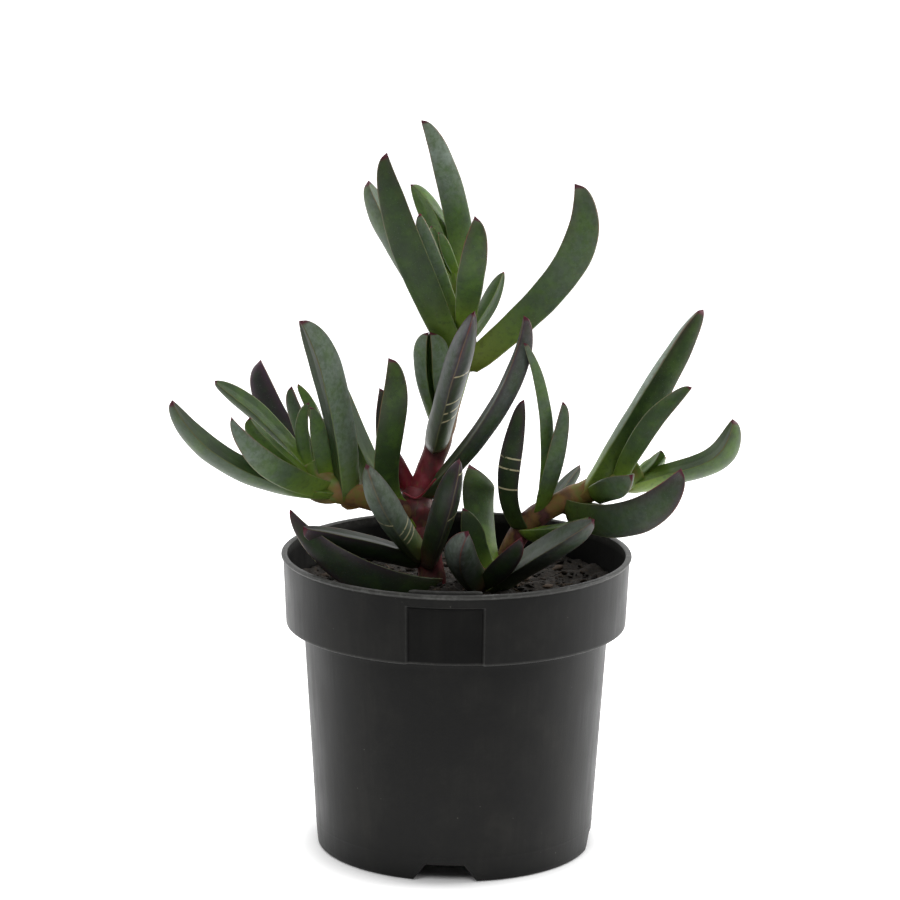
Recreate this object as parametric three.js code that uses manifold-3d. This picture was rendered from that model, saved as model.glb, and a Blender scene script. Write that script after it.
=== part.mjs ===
// A potted pigface, a succulent with three-sided leaves, grown from cuttings in a black nursery pot.
// Millimetres, +Z up. The origin is on the pot's axis at the surface that it stands on, and -Y is the front.
import * as THREE from "three";
import { mergeVertices } from "three/addons/utils/BufferGeometryUtils.js";
import Module from "manifold-3d";

const wasm = await Module();
wasm.setup();

// The pot's driving sizes
const POT_HEIGHT = 120;
const LIP_RADIUS = 70;
const LIP_HEIGHT = 1.6;
const COLLAR_TOP_RADIUS = 69.3;
const COLLAR_FOOT_RADIUS = 68;
const COLLAR_FOOT_HEIGHT = 91.3;
const BODY_TOP_RADIUS = 61;
const BODY_FOOT_RADIUS = 55.2;
const WALL = 1.3;
const LEDGE_HEIGHT = COLLAR_FOOT_HEIGHT + WALL;
const FOOT_WIDTH = 2.2;
const FLOOR_UNDERSIDE = 7.6;
const FLOOR_THICKNESS = 2;
const FLOOR_TOP = FLOOR_UNDERSIDE + FLOOR_THICKNESS;
const ROUND_SIDES = 56;

// How far the pot is turned, so that its label panel is a little left of the front
const POT_TURN = THREE.MathUtils.degToRad(-3.6);

// The label panel is pressed into the collar's front, so its back stands into the pot, up past the lip.
const PANEL_WIDTH = 31;
const PANEL_DEPTH = 1.6;
const PANEL_TOP = POT_HEIGHT - 5;
const TAB_WIDTH = 28.4;
const TAB_TOP = POT_HEIGHT + 1.2;

// The drain notches through the pot's foot, and the drain holes in its floor
const NOTCH_COUNT = 4;
const NOTCH_FOOT_WIDTH = 27;
const NOTCH_TOP_WIDTH = 15;
const NOTCH_HEIGHT = 7;
const DRAIN_COUNT = 8;
const DRAIN_RADIUS = 4;
const DRAIN_CIRCLE = 42;

// The potting mix
const MIX_LEVEL = 106.5;
const MIX_RINGS = 5;
const BARK_CHIPS = 20;
const MOUND_RISE = 2.5;
const MOUND_RADIUS = 22;

// How far two pieces stay from each other, and how deep the stems stand in the mix
const CLEARANCE = 0.35;
const STEM_FOOT = 84;

const COLOURS = {
  pot: 0x2d2d2f,
  mix: 0x2b221d,
  leaf: 0x3d5a3b,
  oldLeaf: 0x33443a,
  youngLeaf: 0x4c6e36,
};

// A leaf's flat upper face follows line, from inside the stem to the tip, and looks towards facing.
// Width is across that face, and depth is from it down to the keel. Both are largest at belly, which is
// a share of the leaf's length, and neck is their share at the root. With more taper it narrows sooner.
const leaf = (line, facing, width, depth, belly = 0.5, neck = 0.76, taper = 1) => ({
  line,
  facing,
  width,
  depth,
  belly,
  neck,
  taper,
});

// The main stem, rooted left of the middle, carries the top rosette.
const mainStem = {
  stems: [
    {
      radius: 4.6,
      points: [[-8, -3, STEM_FOOT], [-9, -3, 106], [-12, -1, 121], [-15, 2, 133], [-16, 4, 143]],
    },
    {
      radius: 4.4,
      points: [
        [-15, 4, 143],
        [-11.3, 4.6, 153],
        [-8.2, 5.5, 161.5],
        [-6.6, 6.4, 169],
        [-3.5, 8, 180],
        [1, 8, 198],
        [2, 8, 211],
        [-2, 10, 234],
      ],
    },
    // the swollen joint at the fork
    { radius: 5.5, points: [[-14.6, 1.2, 130.5], [-15.4, 2.6, 136], [-15.8, 3.6, 141.5]] },
  ],
  leaves: [
    // the low pair, and two old leaves that lie over the mix
    leaf([[-16, -3, 121], [-28, -20, 143], [-35.5, -28, 161.5]], [-0.15, 1, 0.4], 11.5, 9),
    leaf([[-11, -5, 119], [-5, -24, 145], [0.5, -32, 165]], [-0.2, 1, 0.3], 10.5, 9),
    leaf([[-13, -2, 119], [-38, -13, 129.5], [-60, -24, 135.5]], [0.1, -0.1, 1], 10, 9, 0.5, 0.76, 0.75),
    leaf([[-9, -5, 111], [-36, -23, 121.5], [-66, -12, 139.6]], [0.2, 0.4, 0.9], 10, 12.5, 0.5, 0.76, 1.5),
    // the pair at the fork
    leaf([[-15, 2, 143], [12.5, -16, 184], [25, -24, 220.5]], [-0.85, -0.1, 0.5], 8.5, 7.8, 0.6),
    leaf(
      [[-22, 0, 134], [-32, -3, 150.5], [-31, -13, 176.5], [-27.5, -18, 202]],
      [-1, 0.15, 0.1], 8.5, 10.7, 0.7, 0.55,
    ),
    // the keeled leaf above the fork, and a young pair face to face in the axil behind it
    leaf([[-8.2, 4, 165], [-1.5, -16, 196], [6, -24, 222]], [0.1, 0.95, 0.2], 10.5, 9.5, 0.55, 1.12),
    leaf([[-7.5, 7, 170], [-11.2, 0, 191], [-11.8, -4, 209.5]], [1, -0.2, 0], 7.5, 6.3, 0.72, 0.5),
    leaf([[-7, 7, 171], [-11, 0, 192], [-11.5, -4, 209.5]], [-1, -0.22, 0], 8, 8.2, 0.72, 0.5),
    // the top rosette's great pair
    leaf([[2, 7, 203], [-13, -6, 243], [-28.5, -12, 282]], [1, 0.15, 0.3], 10, 13),
    leaf([[1.5, 8, 198.5], [27, 2, 225.5], [41, -4, 247.5], [44.5, -6, 269.5]], [-0.8, 0.2, 0.5], 10, 13, 0.6),
    // the pair crosswise to it, and the axil leaves behind
    leaf([[0, 6, 214], [-8, 2, 236], [-15.5, 2, 256]], [0.8, 0.6, 0.1], 7.5, 7),
    leaf([[0, 5, 213], [1, -14, 237], [5.5, -22, 259]], [-0.9, 0.4, 0.3], 8.5, 10, 0.6),
    leaf([[3, 9, 203], [14, 22, 216], [18, 30, 228]], [0.8, -0.5, -0.2], 6.5, 6.5),
    leaf([[1, 10, 204], [-17.5, 26, 234], [-36.5, 36, 263.5]], [0.8, -0.5, 0.4], 9, 10.5, 0.7),
    // the inner pair and the bud
    leaf([[-1, 10, 226], [-7.5, 14, 259], [-15.5, 14, 291]], [-1, 0.1, 0], 9.5, 10.5, 0.4),
    leaf([[-2, 10, 228], [-11.5, 18, 249], [-19.5, 22, 264]], [-0.5, -0.7, -0.3], 9, 9),
    leaf([[-2, 9, 230], [-7.5, 8, 241], [-11, 8, 250]], [0.6, -0.6, 0.3], 4.5, 4.5),
    leaf([[-2, 9, 231], [-6, 6, 240], [-8.5, 5, 248]], [-0.8, 0.3, 0.2], 4, 4),
  ],
};

// The side shoot that leaves the main stem to the left, in the axil of a low leaf
const leftStem = {
  stems: [
    {
      radius: 4.4,
      points: [
        [-19.5, 1, 134.8],
        [-30, -3, 140.5],
        [-38, -5, 143.5],
        [-48, -6, 146.5],
        [-55.5, -2, 150.5],
        [-57.5, 0, 155.5],
      ],
    },
  ],
  leaves: [
    leaf([[-47, -6, 147.5], [-84.5, -18, 160], [-111.2, -26, 186]], [0.4, -0.3, 0.9], 11, 8.5, 0.65),
    leaf([[-47, -7, 144.5], [-52, -20, 180.5], [-62, -24, 217.5]], [-0.9, -0.45, 0.1], 10.5, 11.8, 0.7),
    leaf([[-54.5, -3, 149.5], [-76.8, 6, 174], [-96.5, 8, 187]], [0.5, -0.3, 0.8], 7.5, 7.2, 0.6, 0.55),
    leaf([[-52.5, -2, 146.5], [-69.5, 30, 171.5], [-80, 44, 188]], [0.9, 0.1, 0.4], 9, 11),
    leaf([[-52, -6, 150], [-73.5, -26, 165.2], [-87.5, -36, 181.8]], [0.5, 0.5, 0.7], 9.5, 9.3, 0.35, 0.8, 1.35),
    leaf([[-57.5, -4, 151.5], [-73.5, -10, 167.5], [-81.5, -14, 177]], [0.5, -0.2, 0.8], 6, 7),
    leaf([[-55.5, -1, 149.5], [-60, 16, 166.5], [-66.5, 20, 182.5]], [1, 0.1, 0.2], 7, 6, 0.65, 0.5),
    leaf([[-56, -1, 151.5], [-59, 2, 166.5], [-59, 2, 179.5]], [1, 0, 0], 6, 5.5),
    leaf([[-54, -3, 150.5], [-57.8, -6, 164.5], [-58.5, -6, 179.5]], [-1, 0, 0], 6.5, 8, 0.4),
    leaf([[-51.5, -3, 148.5], [-54.5, 20, 169.5], [-64.5, 30, 181.5]], [0.7, 0.2, 0.6], 5, 5),
  ],
};

// The short shoot between the fork and the left shoot
const middleStem = {
  stems: [{ radius: 3.3, points: [[-17.5, 5, 141], [-20.3, 4.9, 146.8], [-25, 4.5, 155.5], [-28.5, 4.2, 160]] }],
  leaves: [
    leaf([[-30, 4, 154.5], [-32.5, 8, 167.5], [-31.5, 8, 184.5]], [-1, 0.1, 0.1], 7, 7.5),
    leaf([[-31.5, 5, 151.5], [-39, 18, 165.5], [-46.5, 30, 183.5]], [0.7, -0.4, 0.5], 9, 11, 0.35, 1),
  ],
};

// The right shoot, rooted behind the front shoot
const rightStem = {
  stems: [
    {
      radius: 3.9,
      points: [
        [18, 6, STEM_FOOT],
        [18, 5, 106],
        [22, 3, 121],
        [30, 0, 133.5],
        [53.5, -6, 147.5],
        [65.5, -6, 151.5],
        [72.5, -4, 154],
      ],
    },
  ],
  leaves: [
    leaf([[28.2, 0, 131.5], [23.6, -7, 149], [25.2, -11, 167], [25.9, -12, 184.5]], [1, 0.2, 0], 9, 8),
    leaf([[28, -2, 130.5], [41, -16, 135.5], [52, -22, 140]], [0, -0.1, 1], 9, 7.5),
    leaf([[31.6, 1, 138], [32.3, -10, 176.5], [25, -29, 211]], [-1, 0.1, 0], 6, 5.3, 0.35),
    leaf([[31, -2, 139], [35.2, -11, 162], [41, -12, 184]], [-1, 0.1, 0.3], 8, 7.2, 0.45, 0.7),
    leaf([[33, 1, 134.5], [41.5, 22, 142.5], [49.5, 32, 148.5]], [-0.5, 0, 0.9], 7, 5.5),
    leaf([[54.2, -5, 147.2], [76.2, 2, 181.1], [96.5, 6, 217.8]], [0.47, 0.82, -0.25], 12, 10.5, 0.5, 0.76, 0.8),
    leaf([[66.5, -6, 150.5], [76.3, -14, 172], [91.5, -16, 191]], [0.8, 0.25, -0.5], 8, 7.4),
    leaf(
      [[69.5, -5, 151.5], [89.5, -9, 159], [100.5, -12, 165], [107.7, -14, 178]],
      [-0.3, -0.3, 0.9], 10, 9.5, 0.7,
    ),
    leaf([[46, -5, 143.5], [68, -25, 147.5], [86.5, -36, 163]], [0, 0.25, 1], 11, 14),
    leaf([[54.5, -7, 148.5], [61.5, -26, 157.5], [67.5, -40, 161.5]], [-0.2, 0.3, 1], 10, 9),
    leaf([[70.5, -4, 152.5], [76.5, -2, 158], [80.5, -4, 163]], [-0.3, -0.3, 0.8], 5, 5),
    leaf([[71.5, -4, 152.5], [77.5, 10, 155], [83.5, 16, 156]], [0.3, 0.2, 0.9], 5.5, 5.5),
  ],
};

// The nearly stemless shoot at the front
const frontStem = {
  stems: [{ radius: 3.4, points: [[8, -9, STEM_FOOT], [8, -9, 104], [9, -8, 112], [10, -6, 117]] }],
  leaves: [
    leaf([[8, -9, 111], [1.5, -26, 126], [4, -36, 137]], [0, 1, 0.5], 12.5, 9, 0.5, 0.9),
    leaf([[9, -5, 112], [3, 20, 131], [4.5, 28, 149]], [-1, 0.2, 0], 10, 12.5, 0.75),
    leaf([[10, -6, 112], [3, -8, 126], [2, -10, 140]], [-1, 0.1, 0.2], 9, 9),
    leaf([[10, -9, 111], [17, -24, 124], [25, -34, 134.5]], [-0.5, 0.3, 0.8], 8, 8),
    leaf([[12, -10, 109], [34, -28, 130.5], [53, -36, 142.5]], [-0.6, -0.4, 0.7], 10, 10.5),
  ],
};

// A closed mesh's geometry as a solid that can be joined and cut
function solidFrom(geometry) {
  const bare = geometry.clone();
  bare.deleteAttribute("normal");
  bare.deleteAttribute("uv");
  const merged = mergeVertices(bare, 1e-4);
  return new wasm.Manifold(
    new wasm.Mesh({
      numProp: 3,
      vertProperties: merged.attributes.position.array,
      triVerts: new Uint32Array(merged.index.array),
    }),
  );
}

function geometryFrom(solid) {
  const mesh = solid.getMesh();
  const geometry = new THREE.BufferGeometry();
  geometry.setAttribute("position", new THREE.BufferAttribute(mesh.vertProperties, 3));
  geometry.setIndex(new THREE.BufferAttribute(mesh.triVerts, 1));
  geometry.computeVertexNormals();
  return geometry;
}

const joined = (solids) => solids.reduce((whole, one) => whole.add(one));

// A closed skin over rings of equally many points, with a point at each end to close it
function loft(startPoint, rings, endPoint) {
  const sides = rings[0].length;
  const vertices = [startPoint, ...rings.flat(), endPoint];
  const last = vertices.length - 1;
  const at = (ring, side) => 1 + ring * sides + (side % sides);
  const faces = [];
  for (let side = 0; side < sides; side++) {
    faces.push(0, at(0, side + 1), at(0, side));
    for (let ring = 0; ring + 1 < rings.length; ring++) {
      faces.push(at(ring, side), at(ring, side + 1), at(ring + 1, side + 1));
      faces.push(at(ring, side), at(ring + 1, side + 1), at(ring + 1, side));
    }
    faces.push(at(rings.length - 1, side), at(rings.length - 1, side + 1), last);
  }
  const geometry = new THREE.BufferGeometry().setFromPoints(vertices);
  geometry.setIndex(faces);
  return solidFrom(geometry);
}

const vector = (xyz) => new THREE.Vector3(...xyz);

// The smooth curve that passes a leaf's points at even shares of its way
function pointOnLine(line, share) {
  const spans = line.length - 1;
  const point = new THREE.Vector3();
  line.forEach((xyz, place) => {
    const others = line.map((_, other) => other).filter((other) => other !== place);
    const weights = others.map((other) => (share * spans - other) / (place - other));
    const weight = weights.reduce((product, one) => product * one, 1);
    point.addScaledVector(vector(xyz), weight);
  });
  return point;
}

function directionOnLine(line, share) {
  const step = 0.001;
  return pointOnLine(line, share + step).sub(pointOnLine(line, share - step)).normalize();
}

// How roundly a leaf's width and depth end at its tip: with less power it stays full for longer
const WIDTH_POWER = 0.6;
const DEPTH_POWER = 0.42;

// How full a leaf is at a share of its length, from its neck over its belly to its tip
function fullness(one, share, power) {
  const { belly, neck, taper } = one;
  const toBelly = (Math.PI / 2) * (share < belly ? share / belly : (share - belly) / (1 - belly));
  return share < belly ? neck + (1 - neck) * Math.sin(toBelly) : Math.cos(toBelly) ** (power * taper);
}

// The leaf's three-sided section, as shares of its width and depth: margins, hollow face, full sides, keel
const LEAF_SECTION = [
  [0.5, -0.03],
  [0, -0.06],
  [-0.5, -0.03],
  [-0.44, -0.36],
  [-0.25, -0.74],
  [0, -1],
  [0.25, -0.74],
  [0.44, -0.36],
];
const LEAF_SHARES = [0.02, 0.15, 0.31, 0.47, 0.62, 0.76, 0.88, 0.96];
const SMALL_LEAF_SHARES = [0.02, 0.2, 0.42, 0.64, 0.83, 0.95];
const SMALL_LEAF_WIDTH = 7.5;

const stemCurve = (stem) => new THREE.CatmullRomCurve3(stem.points.map(vector));

// A leaf's root runs down the stem by this share of its depth
const ROOT_RUN = 0.9;

// Where a leaf's root ends on the axis of the nearest stem
function rootEnd(one, stems) {
  const root = vector(one.line[0]);
  let nearest = { gap: Infinity };
  for (const stem of stems) {
    const curve = stemCurve(stem);
    const length = curve.getLength();
    for (let reach = 0; reach <= length; reach++) {
      const gap = curve.getPointAt(reach / length).distanceTo(root);
      if (gap < nearest.gap) nearest = { gap, curve, length, reach };
    }
  }
  const end = Math.max(nearest.reach - ROOT_RUN * one.depth, 0);
  return nearest.curve.getPointAt(end / nearest.length);
}

// One leaf on its plant's stems, grown on every side by skin
function leafSolid(one, stems, skin) {
  const shares = one.width <= SMALL_LEAF_WIDTH ? SMALL_LEAF_SHARES : LEAF_SHARES;
  const facing = vector(one.facing);
  const rings = shares.map((share) => {
    const point = pointOnLine(one.line, share);
    const direction = directionOnLine(one.line, share);
    const up = facing.clone().addScaledVector(direction, -facing.dot(direction)).normalize();
    const across = new THREE.Vector3().crossVectors(up, direction);
    const width = one.width * fullness(one, share, WIDTH_POWER);
    const depth = one.depth * fullness(one, share, DEPTH_POWER);
    const middle = point.clone().addScaledVector(up, -depth * 0.4);
    return LEAF_SECTION.map(([acrossShare, upShare]) => {
      const corner = point
        .clone()
        .addScaledVector(across, acrossShare * width)
        .addScaledVector(up, upShare * depth);
      const outwards = corner.clone().sub(middle).normalize();
      return corner.addScaledVector(outwards, skin);
    });
  });
  const root = rootEnd(one, stems);
  const start = root.clone().addScaledVector(root.clone().sub(vector(one.line[0])).normalize(), skin);
  const end = pointOnLine(one.line, 1).addScaledVector(directionOnLine(one.line, 1), skin);
  return loft(start, rings, end);
}

const STEM_SIDES = 8;
const STEM_STEP = 6;

// A two-edged stem along a curve through its points, grown on every side by skin
function stemSolid(stem, skin) {
  const curve = stemCurve(stem);
  const steps = Math.ceil(curve.getLength() / STEM_STEP);
  const frames = curve.computeFrenetFrames(steps);
  const rings = [];
  for (let step = 0; step <= steps; step++) {
    const centre = curve.getPointAt(step / steps);
    const ring = [];
    for (let side = 0; side < STEM_SIDES; side++) {
      const angle = (2 * Math.PI * side) / STEM_SIDES;
      const radius = stem.radius * (1 + 0.1 * Math.cos(2 * angle)) + skin;
      ring.push(
        centre
          .clone()
          .addScaledVector(frames.normals[step], radius * Math.cos(angle))
          .addScaledVector(frames.binormals[step], radius * Math.sin(angle)),
      );
    }
    rings.push(ring);
  }
  const out = skin + 0.3 * stem.radius;
  const start = curve.getPointAt(0).addScaledVector(frames.tangents[0], -out);
  const end = curve.getPointAt(1).addScaledVector(frames.tangents[steps], out);
  return loft(start, rings, end);
}

// A leafy stem as one body, grown on every side by skin
function leafyStemSolid(plant, skin = 0) {
  const stems = plant.stems.map((stem) => stemSolid(stem, skin));
  const leaves = plant.leaves.map((one) => leafSolid(one, plant.stems, skin));
  return joined([...stems, ...leaves]);
}

// A leafy stem that keeps clear of the ones before it
function clearOf(solid, others) {
  return others.reduce((rest, other) => rest.subtract(leafyStemSolid(other, CLEARANCE)), solid);
}

// A round body from a profile of [radius, height] points. It starts and ends on the axis or closes on itself.
function turned(profile) {
  const points = profile.map(([radius, height]) => new THREE.Vector2(radius, height));
  const geometry = new THREE.LatheGeometry(points, ROUND_SIDES);
  geometry.rotateX(Math.PI / 2);
  return solidFrom(geometry);
}

// A prism's geometry from an outline in X and Z, running along Y from near to far
function prismAlongY(outline, near, far) {
  const shape = new THREE.Shape(outline.map(([x, z]) => new THREE.Vector2(x, z)));
  const geometry = new THREE.ExtrudeGeometry(shape, { depth: far - near, bevelEnabled: false });
  geometry.rotateX(Math.PI / 2);
  geometry.translate(0, far, 0);
  return geometry;
}

// The outer radius of the pot's body and of its collar, and the inner one of its wall, by height
const BODY_SLOPE = (BODY_TOP_RADIUS - BODY_FOOT_RADIUS) / COLLAR_FOOT_HEIGHT;
const bodyRadius = (height) => BODY_FOOT_RADIUS + BODY_SLOPE * height;

const COLLAR_SLOPE = (COLLAR_TOP_RADIUS - COLLAR_FOOT_RADIUS) / (POT_HEIGHT - COLLAR_FOOT_HEIGHT);
const collarRadius = (height) => COLLAR_FOOT_RADIUS + COLLAR_SLOPE * (height - COLLAR_FOOT_HEIGHT);

const insideRadius = (height) => (height < LEDGE_HEIGHT ? bodyRadius(height) : collarRadius(height)) - WALL;

function potShell() {
  const lipFoot = POT_HEIGHT - LIP_HEIGHT;
  return turned([
    [0, FLOOR_UNDERSIDE],
    [BODY_FOOT_RADIUS - FOOT_WIDTH + 0.3, FLOOR_UNDERSIDE],
    [BODY_FOOT_RADIUS - FOOT_WIDTH - 0.8, 0],
    [BODY_FOOT_RADIUS - 1.2, 0],
    [BODY_FOOT_RADIUS - 0.3, 0.6],
    [BODY_FOOT_RADIUS, 1.8],
    [BODY_TOP_RADIUS, COLLAR_FOOT_HEIGHT + 0.3],
    [COLLAR_FOOT_RADIUS - 0.6, COLLAR_FOOT_HEIGHT],
    [COLLAR_FOOT_RADIUS, COLLAR_FOOT_HEIGHT + 0.8],
    [collarRadius(lipFoot), lipFoot - 0.3],
    [LIP_RADIUS, lipFoot + 0.4],
    [LIP_RADIUS, POT_HEIGHT - 0.5],
    [LIP_RADIUS - 0.6, POT_HEIGHT],
    [LIP_RADIUS - 1.7, POT_HEIGHT],
    [insideRadius(lipFoot), POT_HEIGHT - 0.6],
    [insideRadius(LEDGE_HEIGHT), LEDGE_HEIGHT],
    [bodyRadius(LEDGE_HEIGHT) - WALL, LEDGE_HEIGHT],
    [insideRadius(FLOOR_TOP + 1.5), FLOOR_TOP + 1.5],
    [insideRadius(FLOOR_TOP) - 1.5, FLOOR_TOP],
    [0, FLOOR_TOP],
  ]);
}

// The part of a round band that lies in front, between the given heights
function frontStrip(band, width, bottom, top) {
  const half = width / 2;
  const outline = [
    [-half, bottom],
    [half, bottom],
    [half, top],
    [-half, top],
  ];
  return band.intersect(solidFrom(prismAlongY(outline, -2 * LIP_RADIUS, 0).rotateZ(POT_TURN)));
}

// A round band that follows the collar's outside, from one depth below it to another
function collarBand(outerDepth, innerDepth, bottom, top) {
  return turned([
    [collarRadius(bottom) - innerDepth, bottom],
    [collarRadius(bottom) - outerDepth, bottom],
    [collarRadius(top) - outerDepth, top],
    [collarRadius(top) - innerDepth, top],
    [collarRadius(bottom) - innerDepth, bottom],
  ]);
}

// The pressed-in panel's hollow in the collar's front
function panelHollow() {
  const bottom = COLLAR_FOOT_HEIGHT - 1;
  return frontStrip(collarBand(-2, PANEL_DEPTH, bottom, PANEL_TOP), PANEL_WIDTH, bottom, PANEL_TOP);
}

// The panel's back inside the pot, ending above in a low tab, and wider by spare all round
function panelBack(spare) {
  const inner = PANEL_DEPTH + WALL + spare;
  const bottom = COLLAR_FOOT_HEIGHT + 0.1;
  const shoulder = POT_HEIGHT - 0.6;
  const width = PANEL_WIDTH + WALL + 2 * spare;
  const wide = frontStrip(collarBand(WALL / 2, inner, bottom, shoulder), width, bottom, shoulder);
  const tab = frontStrip(collarBand(WALL, inner, bottom, TAB_TOP), TAB_WIDTH, bottom, TAB_TOP);
  return wide.add(tab);
}

// A notch through the foot's edge, in front for number 0
function drainNotch(number) {
  const outline = [
    [-NOTCH_FOOT_WIDTH / 2, -1],
    [NOTCH_FOOT_WIDTH / 2, -1],
    [NOTCH_TOP_WIDTH / 2, NOTCH_HEIGHT],
    [-NOTCH_TOP_WIDTH / 2, NOTCH_HEIGHT],
  ];
  const block = prismAlongY(outline, -BODY_FOOT_RADIUS - 2, -BODY_FOOT_RADIUS / 2);
  return solidFrom(block.rotateZ(POT_TURN + (2 * Math.PI * number) / NOTCH_COUNT));
}

function drainHole(number) {
  const hole = new THREE.CylinderGeometry(DRAIN_RADIUS, DRAIN_RADIUS, 3 * FLOOR_THICKNESS, 12);
  hole.rotateX(Math.PI / 2);
  hole.translate(DRAIN_CIRCLE, 0, FLOOR_UNDERSIDE);
  return solidFrom(hole.rotateZ(POT_TURN + (2 * Math.PI * (number + 0.5)) / DRAIN_COUNT));
}

function potSolid() {
  let pot = potShell().add(panelBack(0)).subtract(panelHollow());
  for (let number = 0; number < NOTCH_COUNT; number++) pot = pot.subtract(drainNotch(number));
  for (let number = 0; number < DRAIN_COUNT; number++) pot = pot.subtract(drainHole(number));
  return pot;
}

// A repeatable run of numbers from 0 to 1
function seeded(seed) {
  let state = seed;
  return () => {
    state = (state * 1664525 + 1013904223) % 4294967296;
    return state / 4294967296;
  };
}

// The mix's uneven surface, with a low mound round the plant's foot
function mixHeight(x, y) {
  const mound = MOUND_RISE * Math.exp(-((x * x + y * y) / (MOUND_RADIUS * MOUND_RADIUS)));
  const wide = 0.8 * Math.sin(0.23 * x + 0.7) * Math.cos(0.19 * y - 0.4);
  const close = 0.5 * Math.sin(0.47 * x - 0.36 * y);
  return MIX_LEVEL - 1 + mound + wide + close;
}

function mixBody() {
  const ringAt = (radius, heightOf) => {
    const ring = [];
    for (let side = 0; side < ROUND_SIDES; side++) {
      const angle = (2 * Math.PI * side) / ROUND_SIDES;
      const [x, y] = [radius * Math.sin(angle), -radius * Math.cos(angle)];
      ring.push(new THREE.Vector3(x, y, heightOf(x, y)));
    }
    return ring;
  };
  const rings = [
    ringAt(insideRadius(FLOOR_TOP) - 2, () => FLOOR_TOP),
    ringAt(insideRadius(FLOOR_TOP + 2) - CLEARANCE, () => FLOOR_TOP + 2),
    ringAt(insideRadius(COLLAR_FOOT_HEIGHT) - CLEARANCE, () => LEDGE_HEIGHT),
    ringAt(insideRadius(LEDGE_HEIGHT + 1) - CLEARANCE, () => LEDGE_HEIGHT + CLEARANCE),
  ];
  const rim = insideRadius(MIX_LEVEL) - CLEARANCE;
  for (let ring = MIX_RINGS; ring > 0; ring--) {
    rings.push(ringAt((rim * ring) / MIX_RINGS, mixHeight));
  }
  return loft(new THREE.Vector3(0, 0, FLOOR_TOP), rings, new THREE.Vector3(0, 0, mixHeight(0, 0)));
}

// A bark chip, half sunk in the mix
function barkChip(random) {
  const radius = (insideRadius(MIX_LEVEL) - 7) * Math.sqrt(random());
  const angle = 2 * Math.PI * random();
  const [x, y] = [radius * Math.cos(angle), radius * Math.sin(angle)];
  const length = 3.5 + 6 * random() ** 2;
  const geometry = new THREE.BoxGeometry(length, length * (0.35 + 0.3 * random()), 1.6 + 1.4 * random());
  geometry.rotateY(0.7 * (random() - 0.5));
  geometry.rotateX(0.7 * (random() - 0.5));
  geometry.rotateZ(Math.PI * random());
  geometry.translate(x, y, mixHeight(x, y) + 0.2);
  return solidFrom(geometry);
}

function mixSolid(plants) {
  const random = seeded(14);
  const chips = Array.from({ length: BARK_CHIPS }, () => barkChip(random));
  const heaped = joined([mixBody(), ...chips]).subtract(panelBack(CLEARANCE));
  return plants.reduce((rest, plant) => rest.subtract(leafyStemSolid(plant, CLEARANCE)), heaped);
}

function piece(name, solid, colour, roughness) {
  const material = new THREE.MeshStandardMaterial({ color: colour, roughness, metalness: 0 });
  const mesh = new THREE.Mesh(geometryFrom(solid), material);
  mesh.name = name;
  return mesh;
}

const plants = [mainStem, frontStem, rightStem, leftStem, middleStem];
const plantSolids = plants.map((plant, place) => clearOf(leafyStemSolid(plant), plants.slice(0, place)));
const [mainSolid, frontSolid, rightSolid, leftSolid, middleSolid] = plantSolids;

const group = new THREE.Group();
group.add(piece("pot", potSolid(), COLOURS.pot, 0.5));
group.add(piece("potting_mix", mixSolid(plants), COLOURS.mix, 0.95));
group.add(piece("main_leafy_stem", mainSolid, COLOURS.leaf, 0.45));
group.add(piece("front_leafy_stem", frontSolid, COLOURS.oldLeaf, 0.45));
group.add(piece("right_leafy_stem", rightSolid, COLOURS.leaf, 0.45));
group.add(piece("left_leafy_stem", leftSolid, COLOURS.leaf, 0.45));
group.add(piece("middle_leafy_stem", middleSolid, COLOURS.youngLeaf, 0.45));

export default group;
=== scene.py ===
import math
import random
from dataclasses import dataclass
from functools import reduce

import bpy
import numpy as np
from mathutils import Matrix, Vector, noise


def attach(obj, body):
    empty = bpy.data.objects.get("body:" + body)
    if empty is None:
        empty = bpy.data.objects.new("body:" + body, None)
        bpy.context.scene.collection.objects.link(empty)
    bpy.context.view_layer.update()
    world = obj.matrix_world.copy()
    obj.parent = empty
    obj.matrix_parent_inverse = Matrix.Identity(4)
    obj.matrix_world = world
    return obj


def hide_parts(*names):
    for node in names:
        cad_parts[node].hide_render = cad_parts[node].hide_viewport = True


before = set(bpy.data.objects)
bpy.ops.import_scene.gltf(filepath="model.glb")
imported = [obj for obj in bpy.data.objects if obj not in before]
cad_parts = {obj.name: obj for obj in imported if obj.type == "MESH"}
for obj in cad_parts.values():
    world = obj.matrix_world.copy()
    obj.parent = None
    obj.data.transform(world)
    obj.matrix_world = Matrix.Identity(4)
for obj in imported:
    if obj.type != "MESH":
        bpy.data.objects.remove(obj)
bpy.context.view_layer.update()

# Blender's vector noise starts from the clock unless it has a seed
noise.seed_set(5)

# Lengths below are in millimetres, in the frame's own axes, and this turns them into metres
MM = 0.001

# The pot
POT_HEIGHT = 120
LIP_RADIUS = 70
LIP_HEIGHT = 1.6
COLLAR_TOP_RADIUS = 69.3
COLLAR_FOOT_RADIUS = 68
COLLAR_FOOT_HEIGHT = 91.3
BODY_TOP_RADIUS = 61
BODY_FOOT_RADIUS = 55.2
WALL = 1.3
LEDGE_HEIGHT = COLLAR_FOOT_HEIGHT + WALL
FOOT_WIDTH = 2.2
FLOOR_UNDERSIDE = 7.6
FLOOR_TOP = 9.6
POT_TURN = math.radians(-3.6)
POT_SIDES = 240
MOULD_LINE_HEIGHT = 10
POT_SHARP_ANGLE = 38
TAB_SHARP_ANGLE = 30

# The label panel pressed into the collar, with its sloping frame
PANEL_HALF_WIDTH = 15.5
PANEL_FRAME = 1.3
PANEL_DEPTH = 1.5
PANEL_TOP = POT_HEIGHT - 5
TAB_HALF_WIDTH = 14.2
TAB_TOP = POT_HEIGHT + 1.2

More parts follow.
